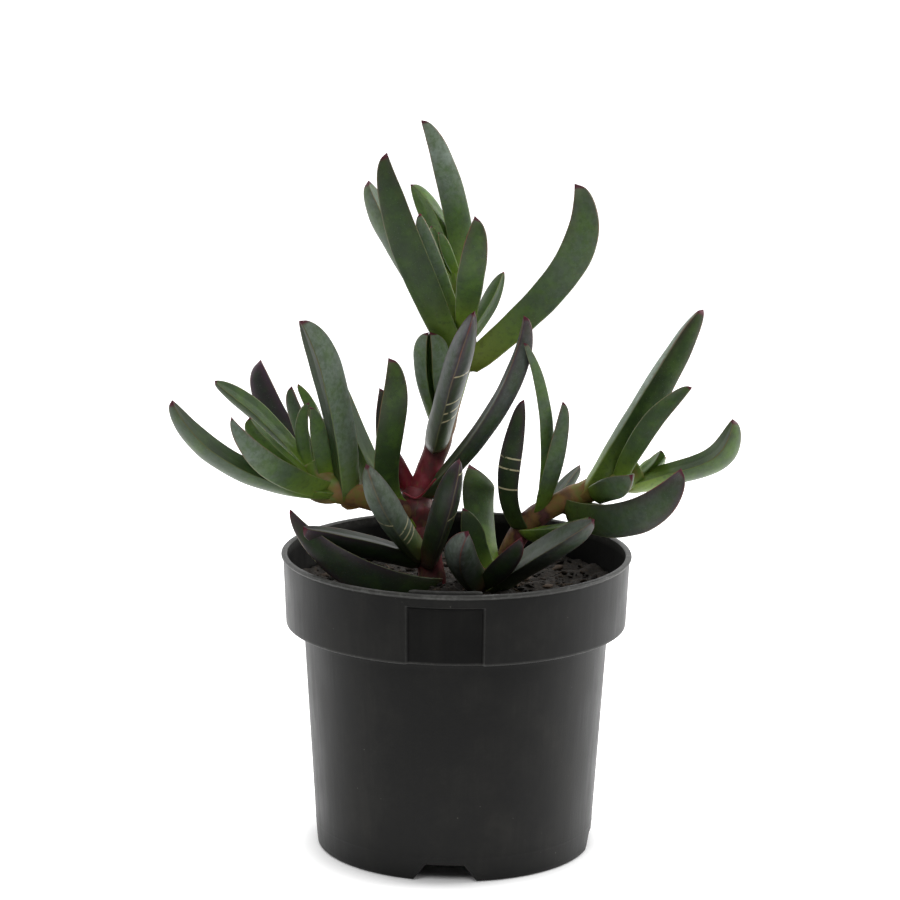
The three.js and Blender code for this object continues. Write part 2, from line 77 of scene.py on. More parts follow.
# The drain notches and holes
NOTCH_COUNT = 4
NOTCH_FOOT_WIDTH = 27
NOTCH_TOP_WIDTH = 15
NOTCH_HEIGHT = 7
DRAIN_COUNT = 8
DRAIN_RADIUS = 4
DRAIN_CIRCLE = 42

# The potting mix
MIX_LEVEL = 106.5
MOUND_RISE = 2.5
MOUND_RADIUS = 22
MIX_PITCH = 0.9
CLEARANCE = 0.35
STEM_FOOT = 84


@dataclass
class Leaf:
    """The flat upper face follows line to the tip and looks towards facing. width is across it, and depth is
    down to the keel. age runs from young green to old purple grey, bloom is the grey wax, and red the blush
    of the margins and keel. Width and depth are largest at belly, and neck is their share at the root.
    base_red is the root's blush. wax is more or less bloom on the side at the flat face's right, on that face
    and on the side at its left, and it is partly painted light and shade: more of it paints a side paler as
    painted light, and where bloom and wax add up to less than nothing the side is darkened as painted shade.
    With more taper the leaf narrows sooner from its belly to its tip. sheath is the width's share that is
    left where the root ends on the stem, and takes_tone is how much it takes on the stem's tone there. The
    wax begins where clear ends, a share of the length. marks are (share of the length, side) of healed
    cracks, where side is -1, 1 or 0 for the flat face."""

    line: list
    facing: tuple
    width: float
    depth: float
    age: float
    bloom: float
    red: float
    belly: float = 0.5
    neck: float = 0.76
    base_red: float = 0.0
    wax: tuple = (0, 0, 0)
    taper: float = 1.0
    sheath: float = 0.4
    takes_tone: float = 1.0
    clear: float = 0.1
    marks: tuple = ()


@dataclass
class Stem:
    """A stem through points. radius is one number, or some at even shares of its way. blush is how red it is
    at its foot, its middle and its top."""

    radius: tuple
    points: list
    blush: tuple


MAIN_STEMS = [
    Stem(4.6, [(-8, -3, STEM_FOOT), (-9, -3, 106), (-12, -1, 121), (-15, 2, 133), (-16, 4, 143)],
         (0.63, 0.66, 0.68)),
    Stem(
        (4.4, 4.4, 4.4, 2.4),
        [(-15, 4, 143), (-11.3, 4.6, 153), (-8.2, 5.5, 161.5), (-6.6, 6.4, 169), (-3.5, 8, 180), (1, 8, 198),
         (2, 8, 211), (-2, 10, 234)],
        (0.95, 0.12, 0.0),
    ),
    # the swollen joint at the fork, and the seam where the pair of leaves there meets
    Stem((3.6, 6.6, 4.4), [(-13.5, 0.5, 127), (-15.4, 2.0, 134), (-16.2, 3.4, 140), (-15.8, 4, 145.5)],
         (0.62, 0.66, 0.76)),
    Stem(0.35, [(-21.4, -1.2, 144.2), (-16.2, -2.9, 142.5), (-8.5, -5.4, 151)], (0.86, 0.86, 0.86)),
]
MAIN_LEAVES = [
    # the low pair, and two old leaves that lie over the mix
    Leaf([(-16, -3, 121), (-28, -20, 143), (-35.5, -28, 161.5)], (-0.15, 1, 0.4), 11.5, 9, 0.55, 0.45, 0.5,
         base_red=0.15, wax=(0.05, 0, 0.05), sheath=0.8,
         marks=((0.22, 1), (0.27, 1), (0.33, 1), (0.45, -1))),
    Leaf([(-11, -5, 119), (-5, -24, 145), (0.5, -32, 165)], (-0.2, 1, 0.3), 10.5, 9, 0.7, 0.05, 0.35,
         base_red=0.3, sheath=0.7, marks=((0.5, 1), (0.9, 1))),
    Leaf([(-13, -2, 119), (-38, -13, 129.5), (-60, -24, 135.5)], (0.1, -0.1, 1), 10, 9, 0.7, 0.06, 0.15,
         wax=(0, -0.5, 0), taper=0.75),
    Leaf([(-9, -5, 111), (-36, -23, 121.5), (-66, -12, 139.6)], (0.2, 0.4, 0.9), 10, 12.5, 0.72, 0.03, 0.2,
         taper=1.5, marks=((0.74, -1),)),
    # the pair at the fork
    Leaf([(-15, 2, 143), (12.5, -16, 184), (25, -24, 220.5)], (-0.85, -0.1, 0.5), 8.5, 7.8, 0.66, 0.2, 0.6,
         belly=0.6, wax=(0, 0.25, 0)),
    Leaf([(-21, 0, 134), (-32, -3, 150.5), (-31, -13, 176.5), (-27.5, -18, 202)], (-1, 0.15, 0.1), 8.5, 10.7,
         0.4, 0.02, 0.6, belly=0.7, neck=0.55, sheath=0.9, takes_tone=0.3),
    # the keeled leaf above the fork, and a young pair face to face in the axil behind it
    Leaf([(-8.2, 4, 165), (-1.5, -16, 196), (6, -24, 222)], (0.1, 0.95, 0.2), 10.5, 9.5, 0.66, 0.24, 0.9,
         belly=0.55, neck=0.95, wax=(0.25, 0, -0.1), sheath=0.6, clear=0.2,
         marks=((0.24, 1), (0.3, 1), (0.37, 1), (0.57, 1))),
    Leaf([(-7.5, 7, 170), (-11.2, 0, 191), (-11.8, -4, 209.5)], (1, -0.2, 0), 7.5, 6.3, 0.3, 0.6, 0.3,
         belly=0.72, neck=0.5, wax=(0, -0.7, 0)),
    Leaf([(-7, 7, 171), (-11, 0, 192), (-11.5, -4, 209.5)], (-1, -0.22, 0), 8, 8.2, 0.3, 0.6, 0.4,
         belly=0.72, neck=0.5, wax=(0, -0.7, 0)),
    # the top rosette's great pair
    Leaf([(2, 7, 203), (-13, -6, 243), (-28.5, -12, 282)], (1, 0.15, 0.3), 10, 13, 0.48, 0.05, 0.4,
         sheath=0.6),
    Leaf([(1.5, 8, 198.5), (27, 2, 225.5), (41, -4, 247.5), (44.5, -6, 269.5)], (-0.8, 0.2, 0.5), 10, 13,
         0.37, 0.2, 0.7, belly=0.6, base_red=0.15, sheath=0.6),
    # the pair crosswise to it, and the axil leaves behind
    Leaf([(0, 6, 214), (-8, 2, 236), (-15.5, 2, 256)], (0.8, 0.6, 0.1), 7.5, 7, 0.32, 0.4, 0.4),
    Leaf([(0, 5, 213), (1, -14, 237), (5.5, -22, 259)], (-0.9, 0.4, 0.3), 8.5, 10, 0.32, 0.08, 0.9,
         belly=0.6, wax=(0, 0.15, 0)),
    Leaf([(3, 9, 203), (14, 22, 216), (18, 30, 228)], (0.8, -0.5, -0.2), 6.5, 6.5, 0.28, 0.0, 0.15,
         wax=(-0.3, -0.35, -0.3)),
    Leaf([(1, 10, 204), (-17.5, 26, 234), (-36.5, 36, 263.5)], (0.8, -0.5, 0.4), 9, 10.5, 0.38, 0.35, 0.5,
         belly=0.7),
    # the inner pair and the bud
    Leaf([(-1, 10, 226), (-7.5, 14, 259), (-15.5, 14, 291)], (-1, 0.1, 0), 9.5, 10.5, 0.34, 0.95, 0.8,
         belly=0.4, clear=0.4),
    Leaf([(-2, 10, 228), (-11.5, 18, 249), (-19.5, 22, 264)], (-0.5, -0.7, -0.3), 9, 9, 0.18, 0.0, 0.1,
         wax=(-0.05, -0.04, -0.05)),
    Leaf([(-2, 9, 230), (-7.5, 8, 241), (-11, 8, 250)], (0.6, -0.6, 0.3), 4.5, 4.5, 0.05, 0.2, 0.3),
    Leaf([(-2, 9, 231), (-6, 6, 240), (-8.5, 5, 248)], (-0.8, 0.3, 0.2), 4, 4, 0.05, 0.2, 0.3),
]

LEFT_STEMS = [
    Stem(
        4.4,
        [(-19.5, 1, 134.8), (-30, -3, 140.5), (-38, -5, 143.5), (-48, -6, 146.5), (-55.5, -2, 150.5),
         (-57.5, 0, 155.5)],
        (0.6, 0.3, 0.0),
    ),
]
LEFT_LEAVES = [
    Leaf([(-47, -6, 147.5), (-84.5, -18, 160), (-111.2, -26, 186)], (0.4, -0.3, 0.9), 11, 8.5, 0.45, 0.22,
         0.25, belly=0.65, wax=(0, -0.4, 0)),
    Leaf([(-47, -7, 144.5), (-52, -20, 180.5), (-62, -24, 217.5)], (-0.9, -0.45, 0.1), 10.5, 11.8, 0.42,
         0.58, 0.3, belly=0.7, wax=(0, -1.1, 0), sheath=0.8, clear=-0.1),
    Leaf([(-54.5, -3, 149.5), (-76.8, 6, 174), (-96.5, 8, 187)], (0.45, -0.55, 0.7), 7.5, 7.2, 0.35, 0.0,
         0.2, belly=0.6, neck=0.55, wax=(0, 0.1, -0.3)),
    Leaf([(-52.5, -2, 146.5), (-69.5, 30, 171.5), (-80, 44, 188)], (0.9, 0.1, 0.4), 9, 11, 0.9, 0.0, 0.7),
    Leaf([(-52, -6, 150), (-73.5, -26, 165.2), (-87.5, -36, 181.8)], (0.5, 0.5, 0.7), 9.5, 9.3, 0.34, 0.55,
         0.9, belly=0.35, neck=0.8, taper=1.35, clear=0.25),
    Leaf([(-57.5, -4, 151.5), (-73.5, -10, 167.5), (-81.5, -14, 177)], (0.5, -0.2, 0.8), 6, 7, 0.2, 0.0, 0.2,
         wax=(0, -0.2, 0)),
    Leaf([(-55.5, -1, 149.5), (-60, 16, 166.5), (-66.5, 20, 182.5)], (1, 0.1, 0.2), 7, 6, 0.45, 0.2, 0.9,
         belly=0.65, neck=0.5),
    Leaf([(-56, -1, 151.5), (-59, 2, 166.5), (-59, 2, 179.5)], (1, 0, 0), 6, 5.5, 0.24, 0.15, 0.4),
    Leaf([(-54, -3, 150.5), (-57.8, -6, 164.5), (-58.5, -6, 179.5)], (-1, 0, 0), 6.5, 8, 0.26, 0.2, 0.4,
         belly=0.4),
    Leaf([(-51.5, -3, 148.5), (-54.5, 20, 169.5), (-64.5, 30, 181.5)], (0.7, 0.2, 0.6), 5, 5, 0.12, 0.1,
         0.5),
]

MIDDLE_STEMS = [
    Stem(3.3, [(-17.5, 5, 141), (-20.3, 4.9, 146.8), (-25, 4.5, 155.5), (-28.5, 4.2, 160)], (1.0, 0.95, 0.5)),
]
MIDDLE_LEAVES = [
    Leaf([(-30, 4, 154.5), (-32.5, 8, 167.5), (-31.5, 8, 184.5)], (-1, 0.1, 0.1), 7, 7.5, 0.6, 0.0, 0.7),
    Leaf([(-31.5, 5, 151.5), (-39, 18, 165.5), (-46.5, 30, 183.5)], (0.7, -0.4, 0.5), 9, 11, 0.4, 0.0, 0.1,
         belly=0.35, neck=1.0, wax=(-0.4, -0.4, -0.4)),
]

RIGHT_STEMS = [
    Stem(
        3.9,
        [(18, 6, STEM_FOOT), (18, 5, 106), (22, 3, 121), (30, 0, 133.5), (53.5, -6, 147.5), (65.5, -6, 151.5),
         (72.5, -4, 154)],
        (0.5, 0.56, 0.02),
    ),
]
RIGHT_LEAVES = [
    Leaf([(28.2, 0, 131.5), (23.6, -7, 149), (25.2, -11, 167), (25.9, -12, 184.5)], (1, 0.2, 0), 9, 8, 0.66,
         0.0, 0.4, marks=((0.34, 1), (0.49, 1), (0.57, 1))),
    Leaf([(28, -2, 130.5), (41, -16, 135.5), (52, -22, 140)], (0, -0.1, 1), 9, 7.5, 0.3, 0.2, 0.2),
    Leaf([(31.6, 1, 138), (32.3, -10, 176.5), (25, -29, 211)], (-1, 0.1, 0), 6, 5.3, 0.25, 0.3, 0.4,
         belly=0.35),
    Leaf([(31, -2, 139), (35.2, -11, 162), (41, -12, 184)], (-1, 0.1, 0.3), 8, 7.2, 0.38, 0.3, 0.8,
         belly=0.45, neck=0.7),
    Leaf([(33, 1, 134.5), (41.5, 22, 142.5), (49.5, 32, 148.5)], (-0.5, 0, 0.9), 7, 5.5, 0.6, 0.0, 0.4,
         wax=(-0.3, -0.3, -0.3)),
    Leaf([(54.2, -5, 147.2), (76.2, 2, 181.1), (96.5, 6, 217.8)], (0.47, 0.82, -0.25), 12, 10.5, 0.42, 0.0,
         0.7, wax=(0.95, 0, -0.25), taper=0.8),
    Leaf([(66.5, -6, 150.5), (76.3, -14, 172), (91.5, -16, 191)], (0.8, 0.25, -0.5), 8, 7.4, 0.38, 0.08,
         0.5),
    Leaf([(69.5, -5, 151.5), (89.5, -9, 159), (100.5, -12, 165), (107.7, -14, 178)], (-0.3, -0.3, 0.9), 10,
         9.5, 0.3, 0.1, 0.4, belly=0.7, wax=(0, -0.4, 0)),
    Leaf([(46, -5, 143.5), (68, -25, 147.5), (86.5, -36, 163)], (0, 0.25, 1), 11, 14, 0.58, 0.16, 1.0),
    Leaf([(54.5, -7, 148.5), (61.5, -26, 157.5), (67.5, -40, 161.5)], (-0.2, 0.3, 1), 10, 9, 0.45, 0.2, 0.5),
    Leaf([(70.5, -4, 152.5), (76.5, -2, 158), (80.5, -4, 163)], (-0.3, -0.3, 0.8), 5, 5, 0.0, -0.06, 0.3),
    Leaf([(71.5, -4, 152.5), (77.5, 10, 155), (83.5, 16, 156)], (0.3, 0.2, 0.9), 5.5, 5.5, 0.0, -0.06, 0.4),
]

FRONT_STEMS = [Stem(3.4, [(8, -9, STEM_FOOT), (8, -9, 104), (9, -8, 112), (10, -6, 117)], (0.9, 0.7, 0.5))]
FRONT_LEAVES = [
    Leaf([(8, -9, 111), (1.5, -26, 126), (4, -36, 137)], (0, 1, 0.5), 12.5, 9, 0.58, 0.72, 0.9, neck=0.9,
         base_red=0.5),
    Leaf([(9, -5, 112), (3, 20, 131), (4.5, 28, 149)], (-1, 0.2, 0), 10, 12.5, 0.45, 0.0, 0.2, belly=0.75),
    Leaf([(10, -6, 112), (3, -8, 126), (2, -10, 140)], (-1, 0.1, 0.2), 9, 9, 0.45, 0.05, 0.2),
    Leaf([(10, -9, 111), (17, -24, 124), (25, -34, 134.5)], (-0.5, 0.3, 0.8), 8, 8, 0.62, 0.08, 1.0),
    Leaf([(12, -10, 109), (34, -28, 130.5), (53, -36, 142.5)], (-0.6, -0.4, 0.7), 10, 10.5, 0.6, 0.38, 0.4),
]


class Paint:
    """A procedural material, built node by node. Its methods return output sockets."""

    def __init__(self, name):
        self.material = bpy.data.materials.new(name)
        self.material.use_nodes = True
        self.tree = self.material.node_tree
        self.shader = self.tree.nodes["Principled BSDF"]

    def put(self, socket, value):
        if isinstance(value, bpy.types.NodeSocket):
            self.tree.links.new(value, socket)
        elif isinstance(value, tuple) and len(value) == 3 and socket.type == "RGBA":
            socket.default_value = (*value, 1)
        else:
            socket.default_value = value

    def node(self, kind, inputs=None, **settings):
        """A new shader node. inputs holds sockets or values by the input's name or number."""
        made = self.tree.nodes.new("ShaderNode" + kind)
        for setting, value in settings.items():
            setattr(made, setting, value)
        for key, value in (inputs or {}).items():
            self.put(made.inputs[key], value)
        return made

    def attribute(self, name):
        return self.node("Attribute", attribute_name=name).outputs["Fac"]

    def place(self):
        """Object coordinates in metres"""
        return self.node("TexCoord").outputs["Object"]

    def stretched(self, scale):
        return self.node("Mapping", {"Vector": self.place(), "Scale": scale}).outputs["Vector"]

    def noise(self, size_mm, detail=3.0, roughness=0.55, place=None):
        """Noise from about 0 to 1, with features of about that size"""
        inputs = {"Vector": place or self.place(), "Scale": 1 / (size_mm * MM)}
        inputs |= {"Detail": detail, "Roughness": roughness}
        return self.node("TexNoise", inputs).outputs["Fac"]

    def cells(self, size_mm):
        inputs = {"Vector": self.place(), "Scale": 1 / (size_mm * MM)}
        return self.node("TexVoronoi", inputs).outputs["Distance"]

    def math(self, operation, first, second):
        return self.node("Math", {0: first, 1: second}, operation=operation).outputs[0]

    def times(self, *values):
        return reduce(lambda one, other: self.math("MULTIPLY", one, other), values)

    def plus(self, *values):
        return reduce(lambda one, other: self.math("ADD", one, other), values)

    def fade(self, value, low, high, at_low=0.0, at_high=1.0):
        """Runs smoothly from at_low to at_high as value goes from low to high"""
        inputs = {0: value, 1: low, 2: high, 3: at_low, 4: at_high}
        return self.node("MapRange", inputs, interpolation_type="SMOOTHSTEP").outputs["Result"]

    def mix(self, share, first, second):
        inputs = {0: share, 6: first, 7: second}
        return self.node("Mix", inputs, data_type="RGBA", clamp_factor=True).outputs[2]

    def ramp(self, value, stops):
        """Colours at places from 0 to 1"""
        made = self.node("ValToRGB", {"Fac": value})
        elements = made.color_ramp.elements
        while len(elements) < len(stops):
            elements.new(0.5)
        for element, (place, colour) in zip(elements, stops):
            element.position = place
            element.color = (*colour, 1)
        return made.outputs["Color"]

    def bump(self, height, depth_mm, under=None):
        inputs = {"Height": height, "Distance": depth_mm * MM, "Strength": 1.0}
        if under is not None:
            inputs["Normal"] = under
        return self.node("Bump", inputs).outputs["Normal"]

    def finish(self, colour, roughness, normal=None, **values):
        values |= {"Base_Color": colour, "Roughness": roughness}
        if normal is not None:
            values["Normal"] = normal
        for name, value in values.items():
            self.put(self.shader.inputs[name.replace("_", " ")], value)
        return self.material


YOUNG_GREEN = (0.085, 0.165, 0.02)
GROWN_GREEN = (0.032, 0.062, 0.014)
OLD_GREEN_AND_PAINTED_SHADE = (0.017, 0.029, 0.013)
OLD_PURPLE = (0.015, 0.0155, 0.014)
BASE_GREEN = (0.2, 0.31, 0.032)
BLOOM_GREY = (0.27, 0.33, 0.28)
BLOOM_LILAC = (0.26, 0.25, 0.29)
CRIMSON = (0.17, 0.014, 0.03)
DARK_TIP = (0.07, 0.008, 0.018)
PALE_MARGIN = (0.2, 0.27, 0.12)
SCAR_STRAW = (0.5, 0.46, 0.28)
PLUM = (0.075, 0.02, 0.055)
DARK_PLUM = (0.032, 0.02, 0.031)

STEM_GREEN = (0.1, 0.16, 0.022)
STEM_OLIVE = (0.19, 0.105, 0.036)
STEM_MAROON = (0.06, 0.022, 0.021)
STEM_RED = (0.14, 0.018, 0.025)
STEM_CRIMSON = (0.21, 0.012, 0.026)
STEM_WAX = (0.24, 0.16, 0.17)


def stem_tones(paint, blush):
    tones = (STEM_GREEN, STEM_OLIVE, STEM_MAROON, STEM_RED, STEM_CRIMSON)
    return paint.ramp(blush, list(zip((0.05, 0.33, 0.56, 0.8, 1), tones)))


def leaf_material():
    """Fleshy green with patchy grey wax, thin red margins and keel, a dark point, a yellow-green root, and
    painted light and shade on each side
    """
    paint = Paint("pigface_leaf")
    fade, mix, times, value = paint.fade, paint.mix, paint.times, paint.attribute
    along = value("along")
    age = value("age")
    rim = value("rim")
    bloom = value("bloom")
    patches = paint.noise(7, 4)
    blotches = paint.noise(2.2, 4, 0.65)

    shifted = paint.plus(age, fade(patches, 0.3, 0.7, -0.12, 0.12))
    flesh = paint.ramp(shifted, [(0, YOUNG_GREEN), (0.42, GROWN_GREEN), (0.72, OLD_GREEN_AND_PAINTED_SHADE), (1, OLD_PURPLE)])
    youth = fade(age, 0.3, 0.7, 1, 0.1)
    root = times(fade(along, 0.0, 0.38, 1, 0), youth)
    flesh = mix(times(root, 0.75), flesh, BASE_GREEN)
    mottle = paint.noise(1.7, 3, 0.6)
    flesh = mix(fade(mottle, 0.48, 0.7, 0, 0.35), flesh, OLD_GREEN_AND_PAINTED_SHADE)
    # painted shade: a side whose bloom is below nothing is darkened towards the old leaves' green
    flesh = mix(fade(bloom, -0.5, -0.02, 0.8, 0), flesh, OLD_GREEN_AND_PAINTED_SHADE)
    flesh = mix(times(fade(along, 0.02, 0.22, 1, 0), value("base_red")), flesh, CRIMSON)

    edge_flush = paint.math("POWER", value("edge"), 3.0)
    plum = times(edge_flush, fade(age, 0.45, 0.9, 0, 0.3), fade(along, 0.1, 0.9, 0.4, 1))
    plum = paint.plus(plum, times(edge_flush, value("red"), fade(along, 0.4, 0.95, 0, 0.45)))
    flesh = mix(plum, flesh, PLUM)
    old_tip = times(fade(along, 0.82, 0.99), fade(age, 0.4, 0.8, 0.1, 0.5))
    flesh = mix(old_tip, flesh, PLUM)

    # each side's wax in the bloom share partly paints a lit side paler, as painted light
    waxy = paint.plus(fade(patches, 0.36, 0.64, 0.62, 1), fade(blotches, 0.38, 0.62, -0.2, 0.2))
    wax = paint.math("MAXIMUM", times(waxy, bloom), 0.0)
    bloom_colour = mix(fade(age, 0.5, 0.75), BLOOM_GREY, BLOOM_LILAC)
    colour = mix(times(wax, 0.7), flesh, bloom_colour)
    old_band = times(paint.math("POWER", value("edge"), 7.0), fade(age, 0.45, 0.7, 0, 0.85))
    colour = mix(times(old_band, fade(along, 0.05, 0.6, 0.3, 1)), colour, DARK_PLUM)
    speckles = times(fade(paint.cells(0.9), 0.12, 0.24, 1, 0), fade(mottle, 0.4, 0.6))
    colour = mix(times(speckles, 0.12), colour, bloom_colour)

    colour = mix(times(rim, fade(age, 0.1, 0.6, 0.85, 0.45)), colour, PALE_MARGIN)
    upper = fade(along, 0.35, 0.85, 0.2, 1)
    broken = fade(paint.noise(4, 2), 0.36, 0.55, 0.35, 1)
    colour = mix(times(rim, value("red"), upper, broken), colour, CRIMSON)
    colour = mix(fade(along, 0.972, 0.99), colour, DARK_TIP)

    cracked = times(value("scar"), fade(paint.noise(1.6, 2), 0.34, 0.46))
    colour = mix(cracked, colour, SCAR_STRAW)

    onto_stem = times(fade(along, -0.12, 0.06, 1, 0), value("takes_tone"))
    colour = mix(onto_stem, colour, stem_tones(paint, value("blush")))

    roughness = fade(wax, 0, 0.6, 0.4, 0.56)
    sheen = fade(bloom, -0.35, 0.02, 0.07, 0.22)
    fine = paint.bump(paint.noise(0.7, 2), 0.03)
    normal = paint.bump(paint.noise(5, 3), 0.16, fine)
    return paint.finish(
        colour, roughness, normal, Subsurface_Weight=0.08, Subsurface_Scale=0.002, Specular_IOR_Level=sheen
    )


def stem_material():
    """A smooth stem that turns from green through olive to crimson, with lengthwise streaks and a thin wax"""
    paint = Paint("pigface_stem")
    fade, mix = paint.fade, paint.mix
    streaks = paint.noise(1.4, 3, 0.6, paint.stretched((1, 1, 0.18)))
    patches = paint.noise(6, 3)
    blush = paint.plus(paint.attribute("blush"), fade(patches, 0.3, 0.7, -0.14, 0.14))
    colour = stem_tones(paint, blush)
    colour = mix(fade(streaks, 0.5, 0.75, 0, 0.2), colour, STEM_GREEN)
    waxed = paint.times(fade(patches, 0.5, 0.75, 0, 0.2), fade(blush, 0.3, 0.9, 0.1, 1))
    colour = mix(waxed, colour, STEM_WAX)
    normal = paint.bump(streaks, 0.12)
    return paint.finish(
        colour, 0.5, normal, Subsurface_Weight=0.08, Subsurface_Scale=0.002, Specular_IOR_Level=0.25
    )


def pot_material():
    """Satin black moulded plastic with a fine grain, faint drag lines and a thin uneven dust, a painted shade
    in the pressed-in panel, and paler edges, partly rubbed wear and partly a painted highlight
    """
    paint = Paint("black_pot_plastic")
    fade, mix, times, value = paint.fade, paint.mix, paint.times, paint.attribute
    grain = paint.noise(0.5, 2)
    cloud = paint.noise(26, 4, 0.6)
    drags = paint.noise(3, 3, 0.6, paint.stretched((1, 1, 0.06)))
    dust = times(fade(cloud, 0.4, 0.75), fade(drags, 0.3, 0.7, 0.4, 1))
    specks = fade(paint.cells(5), 0.035, 0.06, 0.5, 0)
    colour = mix(times(dust, 0.45), (0.0065, 0.0065, 0.0062), (0.026, 0.025, 0.022))
    colour = mix(times(specks, fade(cloud, 0.5, 0.6)), colour, (0.12, 0.115, 0.1))
    # painted shade: the pressed-in panel is darkened, most on its sloping frame
    colour = mix(times(value("panel"), 0.55), colour, (0.002, 0.002, 0.002))
    # paler edges: partly rubbed wear and partly a painted highlight on the lip's crown, the collar's foot,
    # the panel frame and the tab
    worn_and_highlit = fade(paint.noise(2.2, 3), 0.45, 0.72, 0.5, 0.9)
    colour = mix(times(value("edge"), worn_and_highlit), colour, (0.095, 0.095, 0.09))
    roughness = paint.plus(fade(cloud, 0.3, 0.7, 0.38, 0.46), fade(drags, 0.3, 0.7, -0.03, 0.03))
    normal = paint.bump(grain, 0.03, paint.bump(drags, 0.04))
    sheen = fade(value("panel"), 0, 1.7, 0.135, 0.05)
    return paint.finish(colour, roughness, normal, Specular_IOR_Level=sheen)


def mix_material():
    """Damp composted bark, nearly black with browner bits. Each chip has its own tone."""
    paint = Paint("bark_potting_mix")
    crumbs = paint.noise(1.3, 5, 0.7)
    fibre = paint.noise(0.5, 4, 0.6, paint.stretched((1, 0.25, 1)))
    tone = paint.plus(paint.attribute("tone"), paint.fade(crumbs, 0.3, 0.7, -0.1, 0.1))
    colour = paint.ramp(
        tone,
        [(0, (0.006, 0.005, 0.004)), (0.35, (0.017, 0.013, 0.0095)), (0.6, (0.055, 0.036, 0.023)),
         (0.8, (0.13, 0.09, 0.06)), (1, (0.36, 0.3, 0.23))],
    )
    colour = paint.mix(paint.fade(fibre, 0.55, 0.75, 0, 0.4), colour, (0.03, 0.02, 0.014))
    normal = paint.bump(crumbs, 0.5, paint.bump(fibre, 0.15))
    return paint.finish(colour, paint.fade(crumbs, 0.3, 0.7, 0.75, 0.95), normal, Specular_IOR_Level=0.3)


def add_object(name, data):
    made = bpy.data.objects.new(name, data)
    bpy.context.scene.collection.objects.link(made)
    return made


def mesh_object(name, points, faces, scale=MM):
    """An object of these points and faces, in the scene"""
    mesh = bpy.data.meshes.new(name)
    mesh.from_pydata([tuple(scale * number for number in point) for point in points], [], faces)
    return add_object(name, mesh)


def stand_for(piece, node):
    """The piece takes the node's place, which is hidden, and rides as it does"""
    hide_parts(node)
    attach(piece, "root")


class Shells:
    """Gathers closed skins, with numbers for each point, into one mesh object"""

    def __init__(self, names):
        self.points = []
        self.faces = []
        self.slots = []
        self.values = {name: [] for name in names}

    def add(self, points, faces, slot=0, **values):
        first = len(self.points)
        self.points.extend(points)
        self.faces.extend([[first + index for index in face] for face in faces])
        self.slots.extend([slot] * len(faces))
        for name, row in self.values.items():
            given = values.get(name, 0.0)
            row.extend(given if np.ndim(given) else [given] * len(points))

    def piece(self, name, materials, sharp_angle=None):
        made = mesh_object(name, self.points, self.faces)
        mesh = made.data
        mesh.polygons.foreach_set("use_smooth", [True] * len(mesh.polygons))
        mesh.polygons.foreach_set("material_index", self.slots)
        for material in materials:
            mesh.materials.append(material)
        for value_name, row in self.values.items():
            layer = mesh.attributes.new(value_name, "FLOAT", "POINT")
            layer.data.foreach_set("value", np.array(row, dtype=np.float32))
        if sharp_angle is not None:
            mesh.set_sharp_from_angle(angle=math.radians(sharp_angle))
        mesh.update()
        return made


def loft_faces(sides, ring_count):
    """The faces of a skin over rings between a first and a last point"""
    def at(ring, side):
        return 1 + ring * sides + side % sides

    last = 1 + ring_count * sides
    faces = []
    for side in range(sides):
        faces.append((0, at(0, side + 1), at(0, side)))
        for ring in range(ring_count - 1):
            faces.append((at(ring, side), at(ring, side + 1), at(ring + 1, side + 1), at(ring + 1, side)))
        faces.append((at(ring_count - 1, side), at(ring_count - 1, side + 1), last))
    return faces


def turns(count):
    """Even angles round a circle"""
    return [2 * math.pi * step / count for step in range(count)]


def stepped(value, start, end):
    """0 before start, 1 after end and even between"""
    return min(max((value - start) / (end - start), 0), 1)


def unit(vector):
    return vector / np.linalg.norm(vector)


def point_on_line(line, share):
    """The smooth curve that passes a leaf's points at even shares of its way"""
    spans = len(line) - 1
    point = np.zeros(3)
    for place, xyz in enumerate(line):
        others = [other for other in range(len(line)) if other != place]
        weight = math.prod((share * spans - other) / (place - other) for other in others)
        point += weight * np.array(xyz, dtype=float)
    return point


def direction_on_line(line, share):
    return unit(point_on_line(line, share + 0.001) - point_on_line(line, share - 0.001))


# How roundly a leaf's width and depth end at its tip: with less power it stays full for longer
WIDTH_POWER = 0.6
DEPTH_POWER = 0.42


def fullness(one, share, power):
    """How full a leaf is at a share of its length, from its neck over its belly to its tip"""
    if share < one.belly:
        return one.neck + (1 - one.neck) * math.sin(math.pi / 2 * share / one.belly)
    return max(math.cos(math.pi / 2 * (share - one.belly) / (1 - one.belly)), 0) ** (power * one.taper)


LEAF_RINGS = 40
FLAT_STEPS = (0.36, 0.2, 0.07, 0, -0.07, -0.2, -0.36)
SIDE_STEPS = 9
MARGIN_BAND = 0.45
KEEL_BAND = 0.42
POINT_LENGTH = 0.9
LAST_SHARE = 0.993

# A leaf's flat face is hollow by this share of its depth
HOLLOW = 0.03

# How full a leaf's sides are, where 0 is a wedge with hollow sides and 1 is a half round
SIDE_FULLNESS = 0.65


